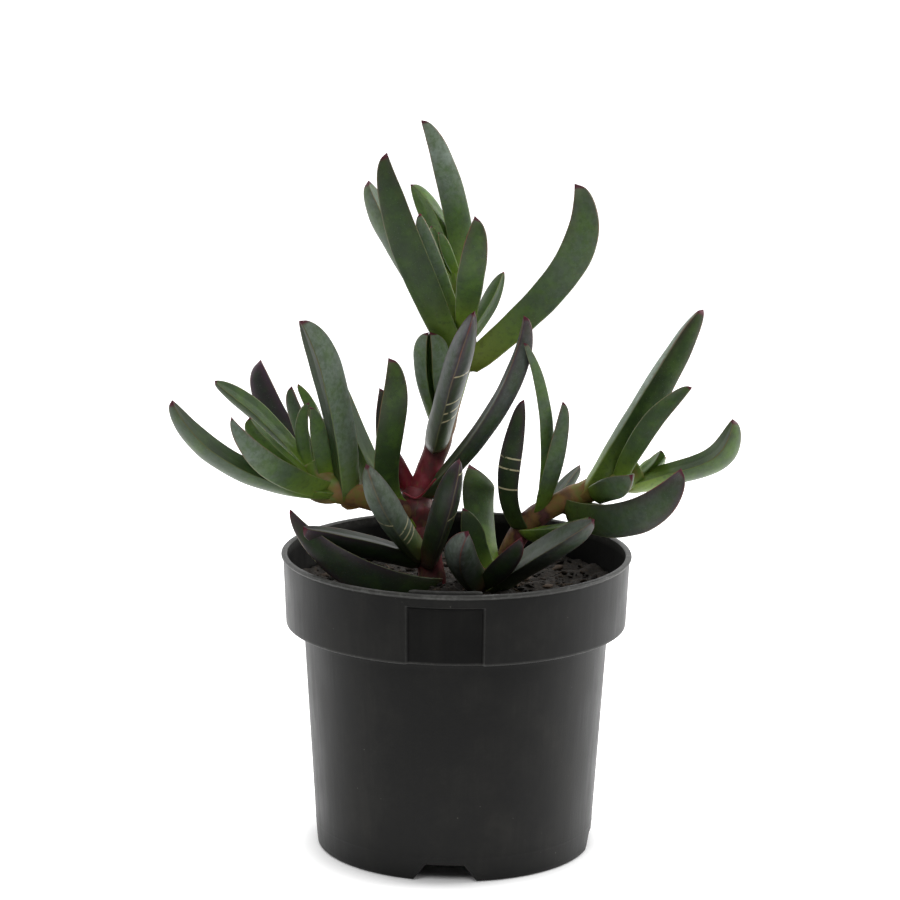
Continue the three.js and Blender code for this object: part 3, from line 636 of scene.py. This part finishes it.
def section(width, depth):
    """The leaf's three-sided section as (across, up) shares, with its rim, edge and side values. It runs over
    the flat face from the right margin to the left one, then down and up the full sides by the keel."""
    band = min(MARGIN_BAND / width, 0.1)
    flats = [0.5, 0.5 - band, *FLAT_STEPS, band - 0.5, -0.5]
    places = [(x, -HOLLOW - HOLLOW * (1 - 4 * x * x) - 0.015 * math.exp(-((x / 0.1) ** 2))) for x in flats]
    rims = [1.0 if abs(x) == 0.5 else 0.0 for x in flats]
    edges = [2 * abs(x) for x in flats]
    sides = [0] * len(flats)
    margin_turn = min(MARGIN_BAND / (SIDE_FULLNESS * depth), 0.2)
    keel_turn = min(KEEL_BAND / (0.5 * width), 0.2)
    inner = np.linspace(margin_turn, math.pi / 2 - keel_turn, SIDE_STEPS)
    down = [(-1, turn) for turn in inner] + [(-1, math.pi / 2)] + [(1, turn) for turn in inner[::-1]]
    for side, turn in down:
        fall = SIDE_FULLNESS * math.sin(turn) + (1 - SIDE_FULLNESS) * (1 - math.cos(turn))
        places.append((side * 0.5 * math.cos(turn), -HOLLOW - (1 - HOLLOW) * fall))
        rims.append(0.8 if turn == math.pi / 2 else 0.0)
        edges.append(abs(math.cos(2 * turn)))
        sides.append(side)
    return np.array(places), np.array(rims), np.array(edges), np.array(sides)


def leaf_shares(one, length):
    """Shares of the length for the rings, closer towards the tip, with thin pairs at the healed cracks"""
    turns_to_tip = [math.pi / 2 * step / LEAF_RINGS for step in range(1, LEAF_RINGS + 1)]
    shares = {round(LAST_SHARE * math.sin(turn), 5) for turn in turns_to_tip}
    cracks = {}
    for share, side in one.marks:
        for offset, value in ((-0.45, 0), (-0.14, 1), (0.14, 1), (0.45, 0)):
            cracks[share + offset / length] = (side, value)
    near = [share for share in shares if all(abs(share - crack) > 0.5 / length for crack in cracks)]
    return [(share, cracks.get(share)) for share in sorted([*near, *cracks])]


# A leaf's root runs down the stem by this share of its depth, and thins to this share there
ROOT_RUN = 0.9
ROOT_RINGS = 9
ROOT_END = 0.25

# What a root's end has in place of its share of the leaf's length
ROOT_ALONG = -0.15

# How far a leaf's skin wanders in millimetres, and how quickly from place to place
LEAF_WOBBLE = 0.22
WOBBLE_RATE = 0.09

# The section's bands are worked out for no less than this width and depth
LEAST_SIZE = 0.5

# The share of its wax that a leaf has where the wax is thinnest
LEAST_WAX = 0.12


def root_end(one, stems):
    """Where a leaf's root ends on the axis of the nearest stem, and how red that stem is there"""
    root = np.array(one.line[0], dtype=float)
    nearest = None
    for stem in stems:
        curve = even_steps(centripetal(stem.points), 1.0)
        gaps = np.linalg.norm(curve - root, axis=1)
        place = int(gaps.argmin())
        if nearest is None or gaps[place] < nearest[0]:
            end = max(place - round(ROOT_RUN * one.depth), 0)
            blush = np.interp(end / len(curve), (0, 0.5, 1), stem.blush)
            nearest = (gaps[place], curve[end], blush)
    return nearest[1:]


def root_path(one, start):
    """Points and directions from a root's end to the leaf's start, along a smooth bow"""
    end = point_on_line(one.line, 0)
    span = np.linalg.norm(end - start)
    bow = end - direction_on_line(one.line, 0) * 0.5 * span
    path = []
    for ring in range(ROOT_RINGS):
        t = ring / ROOT_RINGS
        point = (1 - t) ** 2 * start + 2 * t * (1 - t) * bow + t * t * end
        path.append((t, point, unit(2 * (1 - t) * (bow - start) + 2 * t * (end - bow))))
    return path


def add_leaf(shells, one, stems, seed):
    """A leaf's closed skin, from its root's end in a stem to its tip"""
    rings = []
    values = {name: [] for name in ("along", "rim", "edge", "scar", "bloom")}
    facing = np.array(one.facing, dtype=float)
    # each side's bloom also paints light and shade: more paints a side paler, and below nothing it is kept
    # whole and darkens the side as painted shade
    bloom_and_painted_light_by_side = one.bloom + np.array(one.wax, dtype=float)

    def add_ring(along, point, direction, width, depth, rim_share, wax_share, crack=None):
        up = unit(facing - direction * facing.dot(direction))
        across = np.cross(up, direction)
        places, rims, edges, sides = section(max(width, LEAST_SIZE), max(depth, LEAST_SIZE))
        rings.append(point + np.outer(places[:, 0] * width, across) + np.outer(places[:, 1] * depth, up))
        waxed = bloom_and_painted_light_by_side[sides + 1]
        values["along"].extend([along] * len(places))
        values["rim"].extend(rim_share * rims)
        values["edge"].extend(edges)
        values["scar"].extend(np.where(sides == crack[0], crack[1], 0.0) if crack else 0.0 * rims)
        values["bloom"].extend(np.where(waxed > 0, waxed * wax_share, waxed))

    start, blush = root_end(one, stems)
    for share, point, direction in root_path(one, start):
        width = one.width * one.neck * (one.sheath + (1 - one.sheath) * share)
        depth = one.depth * one.neck * (ROOT_END + (1 - ROOT_END) * share)
        add_ring(ROOT_ALONG * (1 - share), point, direction, width, depth, 0, 0)
    length = sum(np.linalg.norm(np.subtract(after, before)) for before, after in zip(one.line, one.line[1:]))
    for share, crack in leaf_shares(one, length):
        point = point_on_line(one.line, share)
        direction = direction_on_line(one.line, share)
        wider = 1 + 0.03 * noise.noise((3 * share, seed, 0.5))
        deeper = 1 + 0.04 * noise.noise((3 * share, seed, 7.5))
        width = one.width * fullness(one, share, WIDTH_POWER) * wider
        depth = one.depth * fullness(one, share, DEPTH_POWER) * deeper
        wax_share = LEAST_WAX + (1 - LEAST_WAX) * stepped(share, one.clear, one.clear + 0.4)
        add_ring(share, point, direction, width, depth, 1, wax_share, crack)
    tip = point_on_line(one.line, LAST_SHARE) + direction_on_line(one.line, 1) * POINT_LENGTH * one.width / 10
    points = np.vstack([start, *rings, tip])
    for index in range(1, len(points) - 1):
        wobble = noise.noise_vector(Vector(points[index]) * WOBBLE_RATE + Vector((seed, 0, 0)))
        points[index] += LEAF_WOBBLE * np.array(wobble)
    values = {name: [row[0], *row, row[-1]] for name, row in values.items()}
    values["along"][0] = ROOT_ALONG
    values["along"][-1] = 1.0
    values |= {name: getattr(one, name) for name in ("age", "red", "base_red", "takes_tone")}
    shells.add(points, loft_faces(len(rings[0]), len(rings)), blush=blush, **values)


CURVE_STEPS = 12
STEM_SIDES = 32
STEM_OVAL = 0.1
STEM_WAVE = 0.03
STEM_CAP = 0.3
NODE_SWELL = 0.16
NODE_LENGTH = 4.0


def centripetal(points):
    """Points along the smooth curve through the given ones, spaced by the root of their distance"""
    given = [np.array(point, dtype=float) for point in points]
    given = [2 * given[0] - given[1], *given, 2 * given[-1] - given[-2]]
    curve = []
    for four in zip(given, given[1:], given[2:], given[3:]):
        before, start, end, after = four
        gaps = [max(np.linalg.norm(b - a) ** 0.5, 1e-4) for a, b in zip(four, four[1:])]
        leave = (start - before) / gaps[0] - (end - before) / (gaps[0] + gaps[1]) + (end - start) / gaps[1]
        arrive = (end - start) / gaps[1] - (after - start) / (gaps[1] + gaps[2]) + (after - end) / gaps[2]
        leave = leave * gaps[1]
        arrive = arrive * gaps[1]
        for step in range(CURVE_STEPS):
            t = step / CURVE_STEPS
            curve.append(
                start * (2 * t**3 - 3 * t**2 + 1)
                + end * (3 * t**2 - 2 * t**3)
                + leave * (t**3 - 2 * t**2 + t)
                + arrive * (t**3 - t**2)
            )
    return np.array([*curve, given[-2]])


def even_steps(curve, step):
    """The curve's points moved to about even distances of step"""
    lengths = np.concatenate([[0], np.cumsum(np.linalg.norm(np.diff(curve, axis=0), axis=1))])
    wanted = np.linspace(0, lengths[-1], max(int(lengths[-1] / step), 4))
    return np.column_stack([np.interp(wanted, lengths, curve[:, axis]) for axis in range(3)])


def add_stem(shells, stem, leaves):
    """A stem with a slight swelling wherever leaves grow from it"""
    curve = even_steps(centripetal(stem.points), 0.9)
    count = len(curve)
    tangents = np.gradient(curve, axis=0)
    normal = np.cross(tangents[0], (0.3, 1, 0.1))
    roots = [np.array(leaf.line[0], dtype=float) for leaf in leaves]
    radii = np.atleast_1d(stem.radius)
    rings, blush = [], []
    for index, (centre, tangent) in enumerate(zip(curve, tangents)):
        tangent = unit(tangent)
        normal = unit(normal - tangent * normal.dot(tangent))
        side = np.cross(tangent, normal)
        gap = min((np.linalg.norm(root - centre) for root in roots), default=99.0)
        swell = NODE_SWELL * math.exp(-((gap / NODE_LENGTH) ** 2))
        share = index / (count - 1)
        thick = np.interp(share, np.linspace(0, 1, len(radii)), radii)
        for angle in turns(STEM_SIDES):
            around = Vector((math.cos(angle), math.sin(angle), 0))
            wave = STEM_WAVE * noise.noise(Vector(centre * 0.15) + around)
            radius = thick * (1 + STEM_OVAL * math.cos(2 * angle) + swell + wave)
            rings.append(centre + radius * (math.cos(angle) * normal + math.sin(angle) * side))
            blush.append(np.interp(share, (0, 0.5, 1), stem.blush))
    start = curve[0] - unit(tangents[0]) * STEM_CAP * radii[0]
    end = curve[-1] + unit(tangents[-1]) * STEM_CAP * radii[-1]
    points = np.vstack([start, *rings, end])
    shells.add(points, loft_faces(STEM_SIDES, count), 1, blush=[blush[0], *blush, blush[-1]])


LEAF_VALUES = ("along", "rim", "edge", "scar", "age", "bloom", "red", "base_red", "blush", "takes_tone")


def leafy_stem(node, stems, leaves, seed):
    shells = Shells(LEAF_VALUES)
    for stem in stems:
        add_stem(shells, stem, leaves)
    for number, one in enumerate(leaves):
        add_leaf(shells, one, stems, seed + number * 1.7)
    stand_for(shells.piece(node + "_fine", [LEAF, STEM]), node)


# The pot's profile

def body_radius(height):
    return BODY_FOOT_RADIUS + (BODY_TOP_RADIUS - BODY_FOOT_RADIUS) * height / COLLAR_FOOT_HEIGHT


def collar_radius(height):
    slope = (COLLAR_TOP_RADIUS - COLLAR_FOOT_RADIUS) / (POT_HEIGHT - COLLAR_FOOT_HEIGHT)
    return COLLAR_FOOT_RADIUS + slope * (height - COLLAR_FOOT_HEIGHT)


def inside_radius(height):
    return (body_radius(height) if height < LEDGE_HEIGHT else collar_radius(height)) - WALL


def arc(centre_radius, centre_height, radius, from_turn, to_turn, steps=5):
    """Profile points on an arc, its turns counted in degrees from straight out"""
    rows = []
    for step in range(steps + 1):
        turn = math.radians(from_turn + (to_turn - from_turn) * step / steps)
        rows.append((centre_radius + radius * math.cos(turn), centre_height + radius * math.sin(turn)))
    return rows


def straight(radius_at, bottom, top, steps):
    heights = np.linspace(bottom, top, steps + 1)
    return [(radius_at(height), height) for height in heights]


def outer_profile():
    """From the foot's inner edge, over the foot, up the outside to the lip's crown"""
    foot_inside = BODY_FOOT_RADIUS - FOOT_WIDTH
    line = MOULD_LINE_HEIGHT
    line_radius = body_radius(line) + 0.05
    collar = COLLAR_FOOT_HEIGHT
    collar_edge = 0.5
    frame_foot = PANEL_TOP - PANEL_FRAME
    lip_foot = POT_HEIGHT - LIP_HEIGHT
    return [
        (foot_inside + 0.3, FLOOR_UNDERSIDE),
        (foot_inside - 0.8, 0.2),
        (foot_inside - 0.6, 0),
        *arc(BODY_FOOT_RADIUS - 1.2, 1.2, 1.2, -90, -4),
        *straight(body_radius, 2, line - 0.4, 12),
        (line_radius, line - 0.15),
        (line_radius, line + 0.15),
        *straight(body_radius, line + 0.4, collar - 0.8, 24),
        (BODY_TOP_RADIUS + 0.15, collar - 0.25),
        (BODY_TOP_RADIUS + 0.6, collar),
        (BODY_TOP_RADIUS + 2.5, collar),
        (COLLAR_FOOT_RADIUS - 2.2, collar),
        *arc(COLLAR_FOOT_RADIUS - collar_edge, collar + collar_edge, collar_edge, -90, 0, 4),
        *straight(collar_radius, collar + 1.2, frame_foot, 10),
        *straight(collar_radius, frame_foot + 0.2, PANEL_TOP, 4),
        *straight(collar_radius, PANEL_TOP + 0.3, lip_foot - 0.5, 4),
        (collar_radius(lip_foot) - 0.05, lip_foot - 0.15),
        (collar_radius(lip_foot) + 0.15, lip_foot + 0.1),
        *arc(LIP_RADIUS - 0.7, POT_HEIGHT - 0.75, 0.7, -60, 90, 8),
    ]


def inner_profile():
    """From the lip's crown down the inside to the floor's middle"""
    ledge_radius = inside_radius(LEDGE_HEIGHT)
    body_inside = BODY_TOP_RADIUS - WALL
    floor_radius = inside_radius(FLOOR_TOP)
    return [
        *arc(LIP_RADIUS - 1.75, POT_HEIGHT - 0.75, 0.75, 90, 165, 4),
        *straight(inside_radius, POT_HEIGHT - 1.4, LEDGE_HEIGHT + 0.9, 8),
        (ledge_radius - 0.2, LEDGE_HEIGHT + 0.2),
        (ledge_radius - 0.9, LEDGE_HEIGHT),
        (body_inside + 0.4, LEDGE_HEIGHT),
        (body_inside, LEDGE_HEIGHT - 0.5),
        *straight(inside_radius, LEDGE_HEIGHT - 2, FLOOR_TOP + 1.5, 8),
        (floor_radius - 0.5, FLOOR_TOP + 0.4),
        (floor_radius - 1.5, FLOOR_TOP),
    ]


def panel_columns():
    """The angles of the pot's columns, with close ones on the panel's sloping frame"""
    half = PANEL_HALF_WIDTH
    inner = half - PANEL_FRAME
    places = [half + WALL, half + 0.3, half, half - 0.25, inner + 0.25, inner]
    close = [sign * math.asin(place / COLLAR_FOOT_RADIUS) for place in places for sign in (-1, 1)]
    even = [2 * math.pi * (step / POT_SIDES - 0.5) for step in range(POT_SIDES)]
    apart = math.pi / POT_SIDES * 0.9
    kept = [angle for angle in even if all(abs(angle - near) > apart for near in close)]
    return sorted([*kept, *close])


def pressed_in(angle, height, spare=0.0):
    """How deep the panel is pressed in at a place on the collar, between its sloping frame's edges"""
    place = abs(COLLAR_FOOT_RADIUS * math.sin(angle)) if abs(angle) < math.pi / 2 else 99
    sideways = stepped(PANEL_HALF_WIDTH + spare - place, 0, PANEL_FRAME)
    upwards = stepped(PANEL_TOP + spare - height, 0, PANEL_FRAME)
    return PANEL_DEPTH * min(sideways, upwards)


def pot_shell(shells):
    outer = outer_profile()
    inner = inner_profile()
    columns = panel_columns()
    points, edges, panel_painted_shade = [], [], []
    for number, (radius, height) in enumerate([*outer, *inner]):
        on_collar = height >= COLLAR_FOOT_HEIGHT - 0.3 and radius > COLLAR_FOOT_RADIUS - 3
        inside = number >= len(outer)
        crown = height > POT_HEIGHT - LIP_HEIGHT - 0.2
        for angle in columns:
            deep = pressed_in(angle, height, WALL if inside else 0) if on_collar and not crown else 0
            turn = angle + POT_TURN
            points.append(((radius - deep) * math.sin(turn), -(radius - deep) * math.cos(turn), height))
            # the edge value paints a highlight on the lip's crown, the panel frame and the collar's foot,
            # along with rubbed wear
            frame_edge = 0.25 if 0.02 < deep < 0.4 else 0.0
            foot_edge = 0.5 if abs(height - COLLAR_FOOT_HEIGHT) < 0.6 else 0.0
            edges.append(0.9 if crown else max(frame_edge, foot_edge))
            # the panel's share of painted shade in the pressed-in panel, strongest on its sloping frame
            panel_painted_shade.append(0.0 if deep < 0.5 else 1.7 if deep < 0.9 * PANEL_DEPTH else 1.0)
    points = [(0, 0, FLOOR_UNDERSIDE), *points, (0, 0, FLOOR_TOP)]
    faces = loft_faces(len(columns), len(outer) + len(inner))
    shells.add(points, faces, edge=[0.0, *edges, 0.0], panel=[0.0, *panel_painted_shade, 0.0])


def tab_shell(shells):
    """The low tab behind the panel, which stands a little above the lip"""
    steps = 16
    half = math.asin(TAB_HALF_WIDTH / COLLAR_FOOT_RADIUS)
    foot = PANEL_TOP + 2
    front = collar_radius(TAB_TOP) - WALL
    back = front - 1.4
    rings = []
    for step in range(steps + 1):
        turn = POT_TURN - half + 2 * half * step / steps
        drop = 0.4 if step in (0, steps) else 0
        crown = TAB_TOP - drop
        shoulder = TAB_TOP - 0.4 - drop
        outline = [(front - 0.4, crown), (front, shoulder), (front, foot)]
        outline += [(back, foot), (back, shoulder), (front - 1.0, crown)]
        rings.append([(radius * math.sin(turn), -radius * math.cos(turn), z) for radius, z in outline])
    ends = [tuple(np.mean(ring, axis=0)) for ring in (rings[0], rings[-1])]
    points = [ends[0], *(point for ring in rings for point in ring), ends[1]]
    faces = [face[::-1] for face in loft_faces(6, steps + 1)]
    # the tab is made paler by its edge value, partly rubbed wear and partly a painted highlight
    shells.add(points, faces, edge=0.6)


def prism(near, far):
    """A closed prism between two like outlines"""
    count = len(near)
    faces = [tuple(range(count - 1, -1, -1)), tuple(range(count, 2 * count))]
    for side in range(count):
        after = (side + 1) % count
        faces.append((side, after, after + count, side + count))
    return [*near, *far], faces


def cut_away(target, name, outlines):
    """Cuts closed solids out of the target's mesh for good"""
    for number, (points, faces) in enumerate(outlines):
        tool = mesh_object(f"{name}_{number}", points, faces)
        cut = target.modifiers.new(tool.name, "BOOLEAN")
        cut.operation = "DIFFERENCE"
        cut.solver = "EXACT"
        cut.object = tool
    bpy.context.view_layer.update()
    shaped = bpy.data.meshes.new_from_object(target.evaluated_get(bpy.context.evaluated_depsgraph_get()))
    for cut in list(target.modifiers):
        tool = cut.object
        target.modifiers.remove(cut)
        bpy.data.objects.remove(tool)
    target.data = shaped


def drain_cutters():
    """Closed solids in the place of the foot's notches and the floor's round holes"""
    cutters = []
    notch = [(-NOTCH_FOOT_WIDTH / 2, -1), (NOTCH_FOOT_WIDTH / 2, -1)]
    notch += [(NOTCH_TOP_WIDTH / 2, NOTCH_HEIGHT), (-NOTCH_TOP_WIDTH / 2, NOTCH_HEIGHT)]
    for turn in turns(NOTCH_COUNT):
        spin = Matrix.Rotation(POT_TURN + turn, 3, "Z")
        distances = (BODY_FOOT_RADIUS / 2, BODY_FOOT_RADIUS + 2)
        outlines = [[tuple(spin @ Vector((x, -out, z))) for x, z in notch] for out in distances]
        cutters.append(prism(*outlines))
    for number in range(DRAIN_COUNT):
        turn = POT_TURN + 2 * math.pi * (number + 0.5) / DRAIN_COUNT
        x, y = DRAIN_CIRCLE * math.cos(turn), DRAIN_CIRCLE * math.sin(turn)
        circle = [(x + DRAIN_RADIUS * math.cos(a), y + DRAIN_RADIUS * math.sin(a)) for a in turns(24)]
        heights = (FLOOR_UNDERSIDE - 3, FLOOR_TOP + 3)
        cutters.append(prism(*([(*spot, z) for spot in circle] for z in heights)))
    return cutters


def make_pot():
    shells = Shells(("edge", "panel"))
    pot_shell(shells)
    made = shells.piece("pot_fine", [POT])
    cut_away(made, "drain", drain_cutters())
    made.data.set_sharp_from_angle(angle=math.radians(POT_SHARP_ANGLE))
    tab = Shells(("edge",))
    tab_shell(tab)
    for one in (made, tab.piece("pot_tab", [POT], TAB_SHARP_ANGLE)):
        stand_for(one, "pot")


# The potting mix

def mix_height(x, y):
    mound = MOUND_RISE * math.exp(-((x * x + y * y) / (MOUND_RADIUS * MOUND_RADIUS)))
    wide = 0.8 * math.sin(0.23 * x + 0.7) * math.cos(0.19 * y - 0.4)
    close = 0.5 * math.sin(0.47 * x - 0.36 * y)
    return MIX_LEVEL - 1 + mound + wide + close


def crumbled(x, y):
    """The mix's surface with its crumbs"""
    crumbs = 0.9 * noise.noise((0.28 * x, 0.28 * y, 3.1)) + 0.6 * noise.noise((0.8 * x, 0.8 * y, 9.7))
    lumps = 0.7 * max(noise.noise((0.5 * x, 0.5 * y, 21.3)), 0)
    return mix_height(x, y) + crumbs + lumps - 0.2


def mix_clear(x, y, radius):
    """How far out the mix may reach, less where the panel's back stands in the pot"""
    turn = math.atan2(x, -y) - POT_TURN
    behind = pressed_in(turn, MIX_LEVEL, WALL + CLEARANCE)
    return min(radius, inside_radius(MIX_LEVEL) - CLEARANCE - behind - (0.4 if behind else 0))


def mix_top(shells):
    """The mix's skin, from its foot up the wall and over its crumbled top"""
    rim = inside_radius(MIX_LEVEL) - CLEARANCE
    sides = int(2 * math.pi * rim / (1.4 * MIX_PITCH))
    rings = int(rim / MIX_PITCH)
    points = [(0, 0, FLOOR_TOP + 0.3)]

    def ring_at(radius, height_of):
        for angle in turns(sides):
            x, y = math.sin(angle), -math.cos(angle)
            reach = mix_clear(x, y, radius) if radius > rim - 6 else radius
            points.append((reach * x, reach * y, height_of(reach * x, reach * y)))

    ring_at(inside_radius(FLOOR_TOP) - 2.2, lambda x, y: FLOOR_TOP + 0.3)
    ring_at(inside_radius(LEDGE_HEIGHT - 1) - CLEARANCE - 0.3, lambda x, y: LEDGE_HEIGHT)
    ring_at(rim, lambda x, y: LEDGE_HEIGHT + 0.6)
    for ring in range(rings, 0, -1):
        ring_at(rim * ring / rings, crumbled)
    points.append((0, 0, crumbled(0, 0)))
    tones = [0.3 + 0.25 * noise.noise((0.5 * x, 0.5 * y, 5.0)) for x, y, _ in points]
    shells.add(points, loft_faces(sides, rings + 3), tone=tones)


def chip_shape(draw, length, breadth, thick):
    """A broken bark chip: a rounded and chipped block over a coarse ball"""
    rings, sides = 5, 8
    points = [(0, 0, -thick / 2)]
    for ring in range(rings):
        rise = -1 + 2 * (ring + 0.5) / rings
        girth = (1 - abs(rise) ** 3.0) ** 0.5
        for angle in turns(sides):
            x = math.copysign(abs(math.cos(angle)) ** 0.6, math.cos(angle))
            y = math.copysign(abs(math.sin(angle)) ** 0.6, math.sin(angle))
            rough = 0.75 + 0.45 * draw.random()
            points.append((length / 2 * x * girth * rough, breadth / 2 * y * girth * rough, thick / 2 * rise))
    points.append((0, 0, thick / 2))
    return points, loft_faces(sides, rings)


def scatter_chips(shells, draw, count, sizes, tones, bury):
    """Chips strewn over the mix, clear of the wall. bury is the share of the thickness that is sunk."""
    reach = inside_radius(MIX_LEVEL) - 3.5
    for _ in range(count):
        length = draw.uniform(*sizes) * (0.6 + 0.8 * draw.random() ** 2)
        radius = (reach - length / 2) * math.sqrt(draw.random())
        angle = 2 * math.pi * draw.random()
        x, y = radius * math.cos(angle), radius * math.sin(angle)
        thick = length * draw.uniform(0.25, 0.5)
        points, faces = chip_shape(draw, length, length * draw.uniform(0.4, 0.9), thick)
        tilt = Matrix.Rotation(2 * math.pi * draw.random(), 3, "Z")
        for axis in ("X", "Y"):
            tilt = tilt @ Matrix.Rotation(draw.gauss(0, 0.35), 3, axis)
        rest = Vector((x, y, crumbled(x, y) + thick * (0.5 - bury)))
        placed = [tuple(tilt @ Vector(point) + rest) for point in points]
        shells.add(placed, faces, tone=draw.uniform(*tones))


def rootlet(shells, draw):
    """A thin rootlet that lies over the mix"""
    reach = inside_radius(MIX_LEVEL) - 12
    radius, turn = reach * math.sqrt(draw.random()), 2 * math.pi * draw.random()
    x, y = radius * math.cos(turn), radius * math.sin(turn)
    heading = 2 * math.pi * draw.random()
    steps, sides, thin = 9, 5, draw.uniform(0.14, 0.3)
    centres = []
    for step in range(steps):
        centres.append((x, y, crumbled(x, y) + 0.5 + 0.5 * math.sin(math.pi * step / steps)))
        heading += draw.gauss(0, 0.35)
        x += 0.9 * math.cos(heading)
        y += 0.9 * math.sin(heading)
    points = []
    for (cx, cy, cz), share in zip(centres, np.linspace(0, 1, steps)):
        width = thin * (1 - 0.6 * share)
        for angle in turns(sides):
            out, up = width * math.cos(angle), width * math.sin(angle)
            points.append((cx - out * math.sin(heading), cy + out * math.cos(heading), cz + up))
    shells.add([centres[0], *points, centres[-1]], loft_faces(sides, steps), tone=draw.uniform(0.5, 0.85))


# The chips by their number, sizes and tones, and how much of their thickness is sunk: crumbs, small bark,
# large bark and pale bits
CHIPS = [
    (700, (1.2, 2.6), (0.0, 0.6), 0.25),
    (430, (2.2, 4.6), (0.0, 0.6), 0.25),
    (26, (5, 8), (0.15, 0.55), 0.35),
    (45, (1.2, 2.4), (0.75, 0.95), 0.3),
]
ROOTLETS = 70
MIX_SEED = 31

# A pale pebble that shows to the right of the plant
PEBBLE_PLACE = (43.5, -12)
PEBBLE_SIZE = (3.6, 3.2, 2.4)
PEBBLE_LIFT = 0.9


def make_mix():
    draw = random.Random(MIX_SEED)
    shells = Shells(("tone",))
    mix_top(shells)
    for count, sizes, tones, bury in CHIPS:
        scatter_chips(shells, draw, count, sizes, tones, bury)
    for _ in range(ROOTLETS):
        rootlet(shells, draw)
    points, faces = chip_shape(draw, *PEBBLE_SIZE)
    x, y = PEBBLE_PLACE
    lift = crumbled(x, y) + PEBBLE_LIFT
    shells.add([(px + x, py + y, pz + lift) for px, py, pz in points], faces, tone=0.86)
    stand_for(shells.piece("potting_mix_fine", [MIX]), "potting_mix")


# The studio

FLOOR_SIZE = 6.0
CAMERA_PLACE = (-3.0, -1569, 516)
CAMERA_PITCH = 12.73
CAMERA_ROLL = 0.56
LENS = 162


def make_camera():
    data = bpy.data.cameras.new("camera")
    data.lens = LENS
    data.sensor_width = 36
    data.clip_start = 0.05
    data.clip_end = 50
    camera = add_object("camera", data)
    pitch = Matrix.Rotation(math.radians(90 - CAMERA_PITCH), 4, "X")
    roll = Matrix.Rotation(math.radians(CAMERA_ROLL), 4, "Z")
    camera.matrix_world = Matrix.Translation(Vector(CAMERA_PLACE) * MM) @ (pitch @ roll)
    bpy.context.scene.camera = camera


def floor_material():
    """Pale, and glowing softly as painted light in place of a lit backdrop, less to the front, with a painted
    shadow at the pot's foot
    """
    paint = Paint("pale_floor_painted_glow")
    faint = paint.fade(paint.noise(180, 2), 0.3, 0.7, 0, 1)
    colour = paint.mix(faint, (0.86, 0.86, 0.86), (0.9, 0.9, 0.9))
    place = paint.node("SeparateXYZ", {0: paint.place()})
    distance = paint.node("VectorMath", {0: paint.place()}, operation="LENGTH")
    # painted shadow: the floor's emitted light fades to nothing under the pot and round its foot
    shade = paint.fade(distance.outputs["Value"], 0.045, 0.082, 0, 1)
    # painted light: the floor emits more behind and less to the front
    painted_glow = paint.times(paint.fade(place.outputs["Y"], -0.3, -0.06, 0.26, 0.9), shade)
    return paint.finish(colour, 0.6, None, Emission_Color=(1.0, 1.0, 1.0), Emission_Strength=painted_glow)


def make_floor():
    """A pale floor that rises behind as a smooth sweep"""
    half = FLOOR_SIZE / 2
    bend = 0.9
    rows = [(-half, 0), (half - bend, 0)]
    rows += [(half - bend + bend * math.sin(turn), bend * (1 - math.cos(turn)))
             for turn in np.linspace(0.1, math.pi / 2, 14)]
    rows += [(half, 2.6)]
    points = [(x, y, z - 0.0001) for y, z in rows for x in (-half, half)]
    faces = [(2 * row, 2 * row + 1, 2 * row + 3, 2 * row + 2) for row in range(len(rows) - 1)]
    floor = mesh_object("floor", points, faces, 1)
    floor.data.polygons.foreach_set("use_smooth", [True] * len(faces))
    floor.data.materials.append(floor_material())


def soft_light(name, place, aim, size, power, spread):
    data = bpy.data.lights.new(name, "AREA")
    data.shape = "RECTANGLE"
    data.spread = math.radians(spread)
    data.size, data.size_y = size
    data.energy = power
    light = add_object(name, data)
    facing = (Vector(aim) - Vector(place)).to_track_quat("-Z", "Y")
    light.matrix_world = Matrix.Translation(Vector(place)) @ facing.to_matrix().to_4x4()


def make_light():
    world = bpy.data.worlds.new("studio")
    world.use_nodes = True
    background = world.node_tree.nodes["Background"]
    background.inputs["Color"].default_value = (1, 1, 1, 1)
    background.inputs["Strength"].default_value = 0.1
    bpy.context.scene.world = world
    soft_light("left_softbox", (-1.0, 0.7, 0.7), (0, 0.1, 0.12), (0.7, 0.9), 2.1, 100)
    soft_light("right_softbox", (1.05, 0.36, 0.65), (0, 0.1, 0.12), (0.8, 0.9), 5.6, 100)
    soft_light("top_softbox", (0, 0.35, 0.95), (0, 0.1, 0), (1.0, 0.6), 1.8, 110)
    soft_light("front_softbox", (-0.2, -1.2, 1.5), (0, 0, 0.15), (1.0, 0.8), 6.0, 120)


bpy.context.scene.view_settings.view_transform = "Standard"
make_camera()
make_floor()
make_light()

LEAF = leaf_material()
STEM = stem_material()
POT = pot_material()
MIX = mix_material()

make_pot()
make_mix()
leafy_stem("main_leafy_stem", MAIN_STEMS, MAIN_LEAVES, 1.0)
leafy_stem("left_leafy_stem", LEFT_STEMS, LEFT_LEAVES, 40.0)
leafy_stem("middle_leafy_stem", MIDDLE_STEMS, MIDDLE_LEAVES, 70.0)
leafy_stem("right_leafy_stem", RIGHT_STEMS, RIGHT_LEAVES, 90.0)
leafy_stem("front_leafy_stem", FRONT_STEMS, FRONT_LEAVES, 130.0)
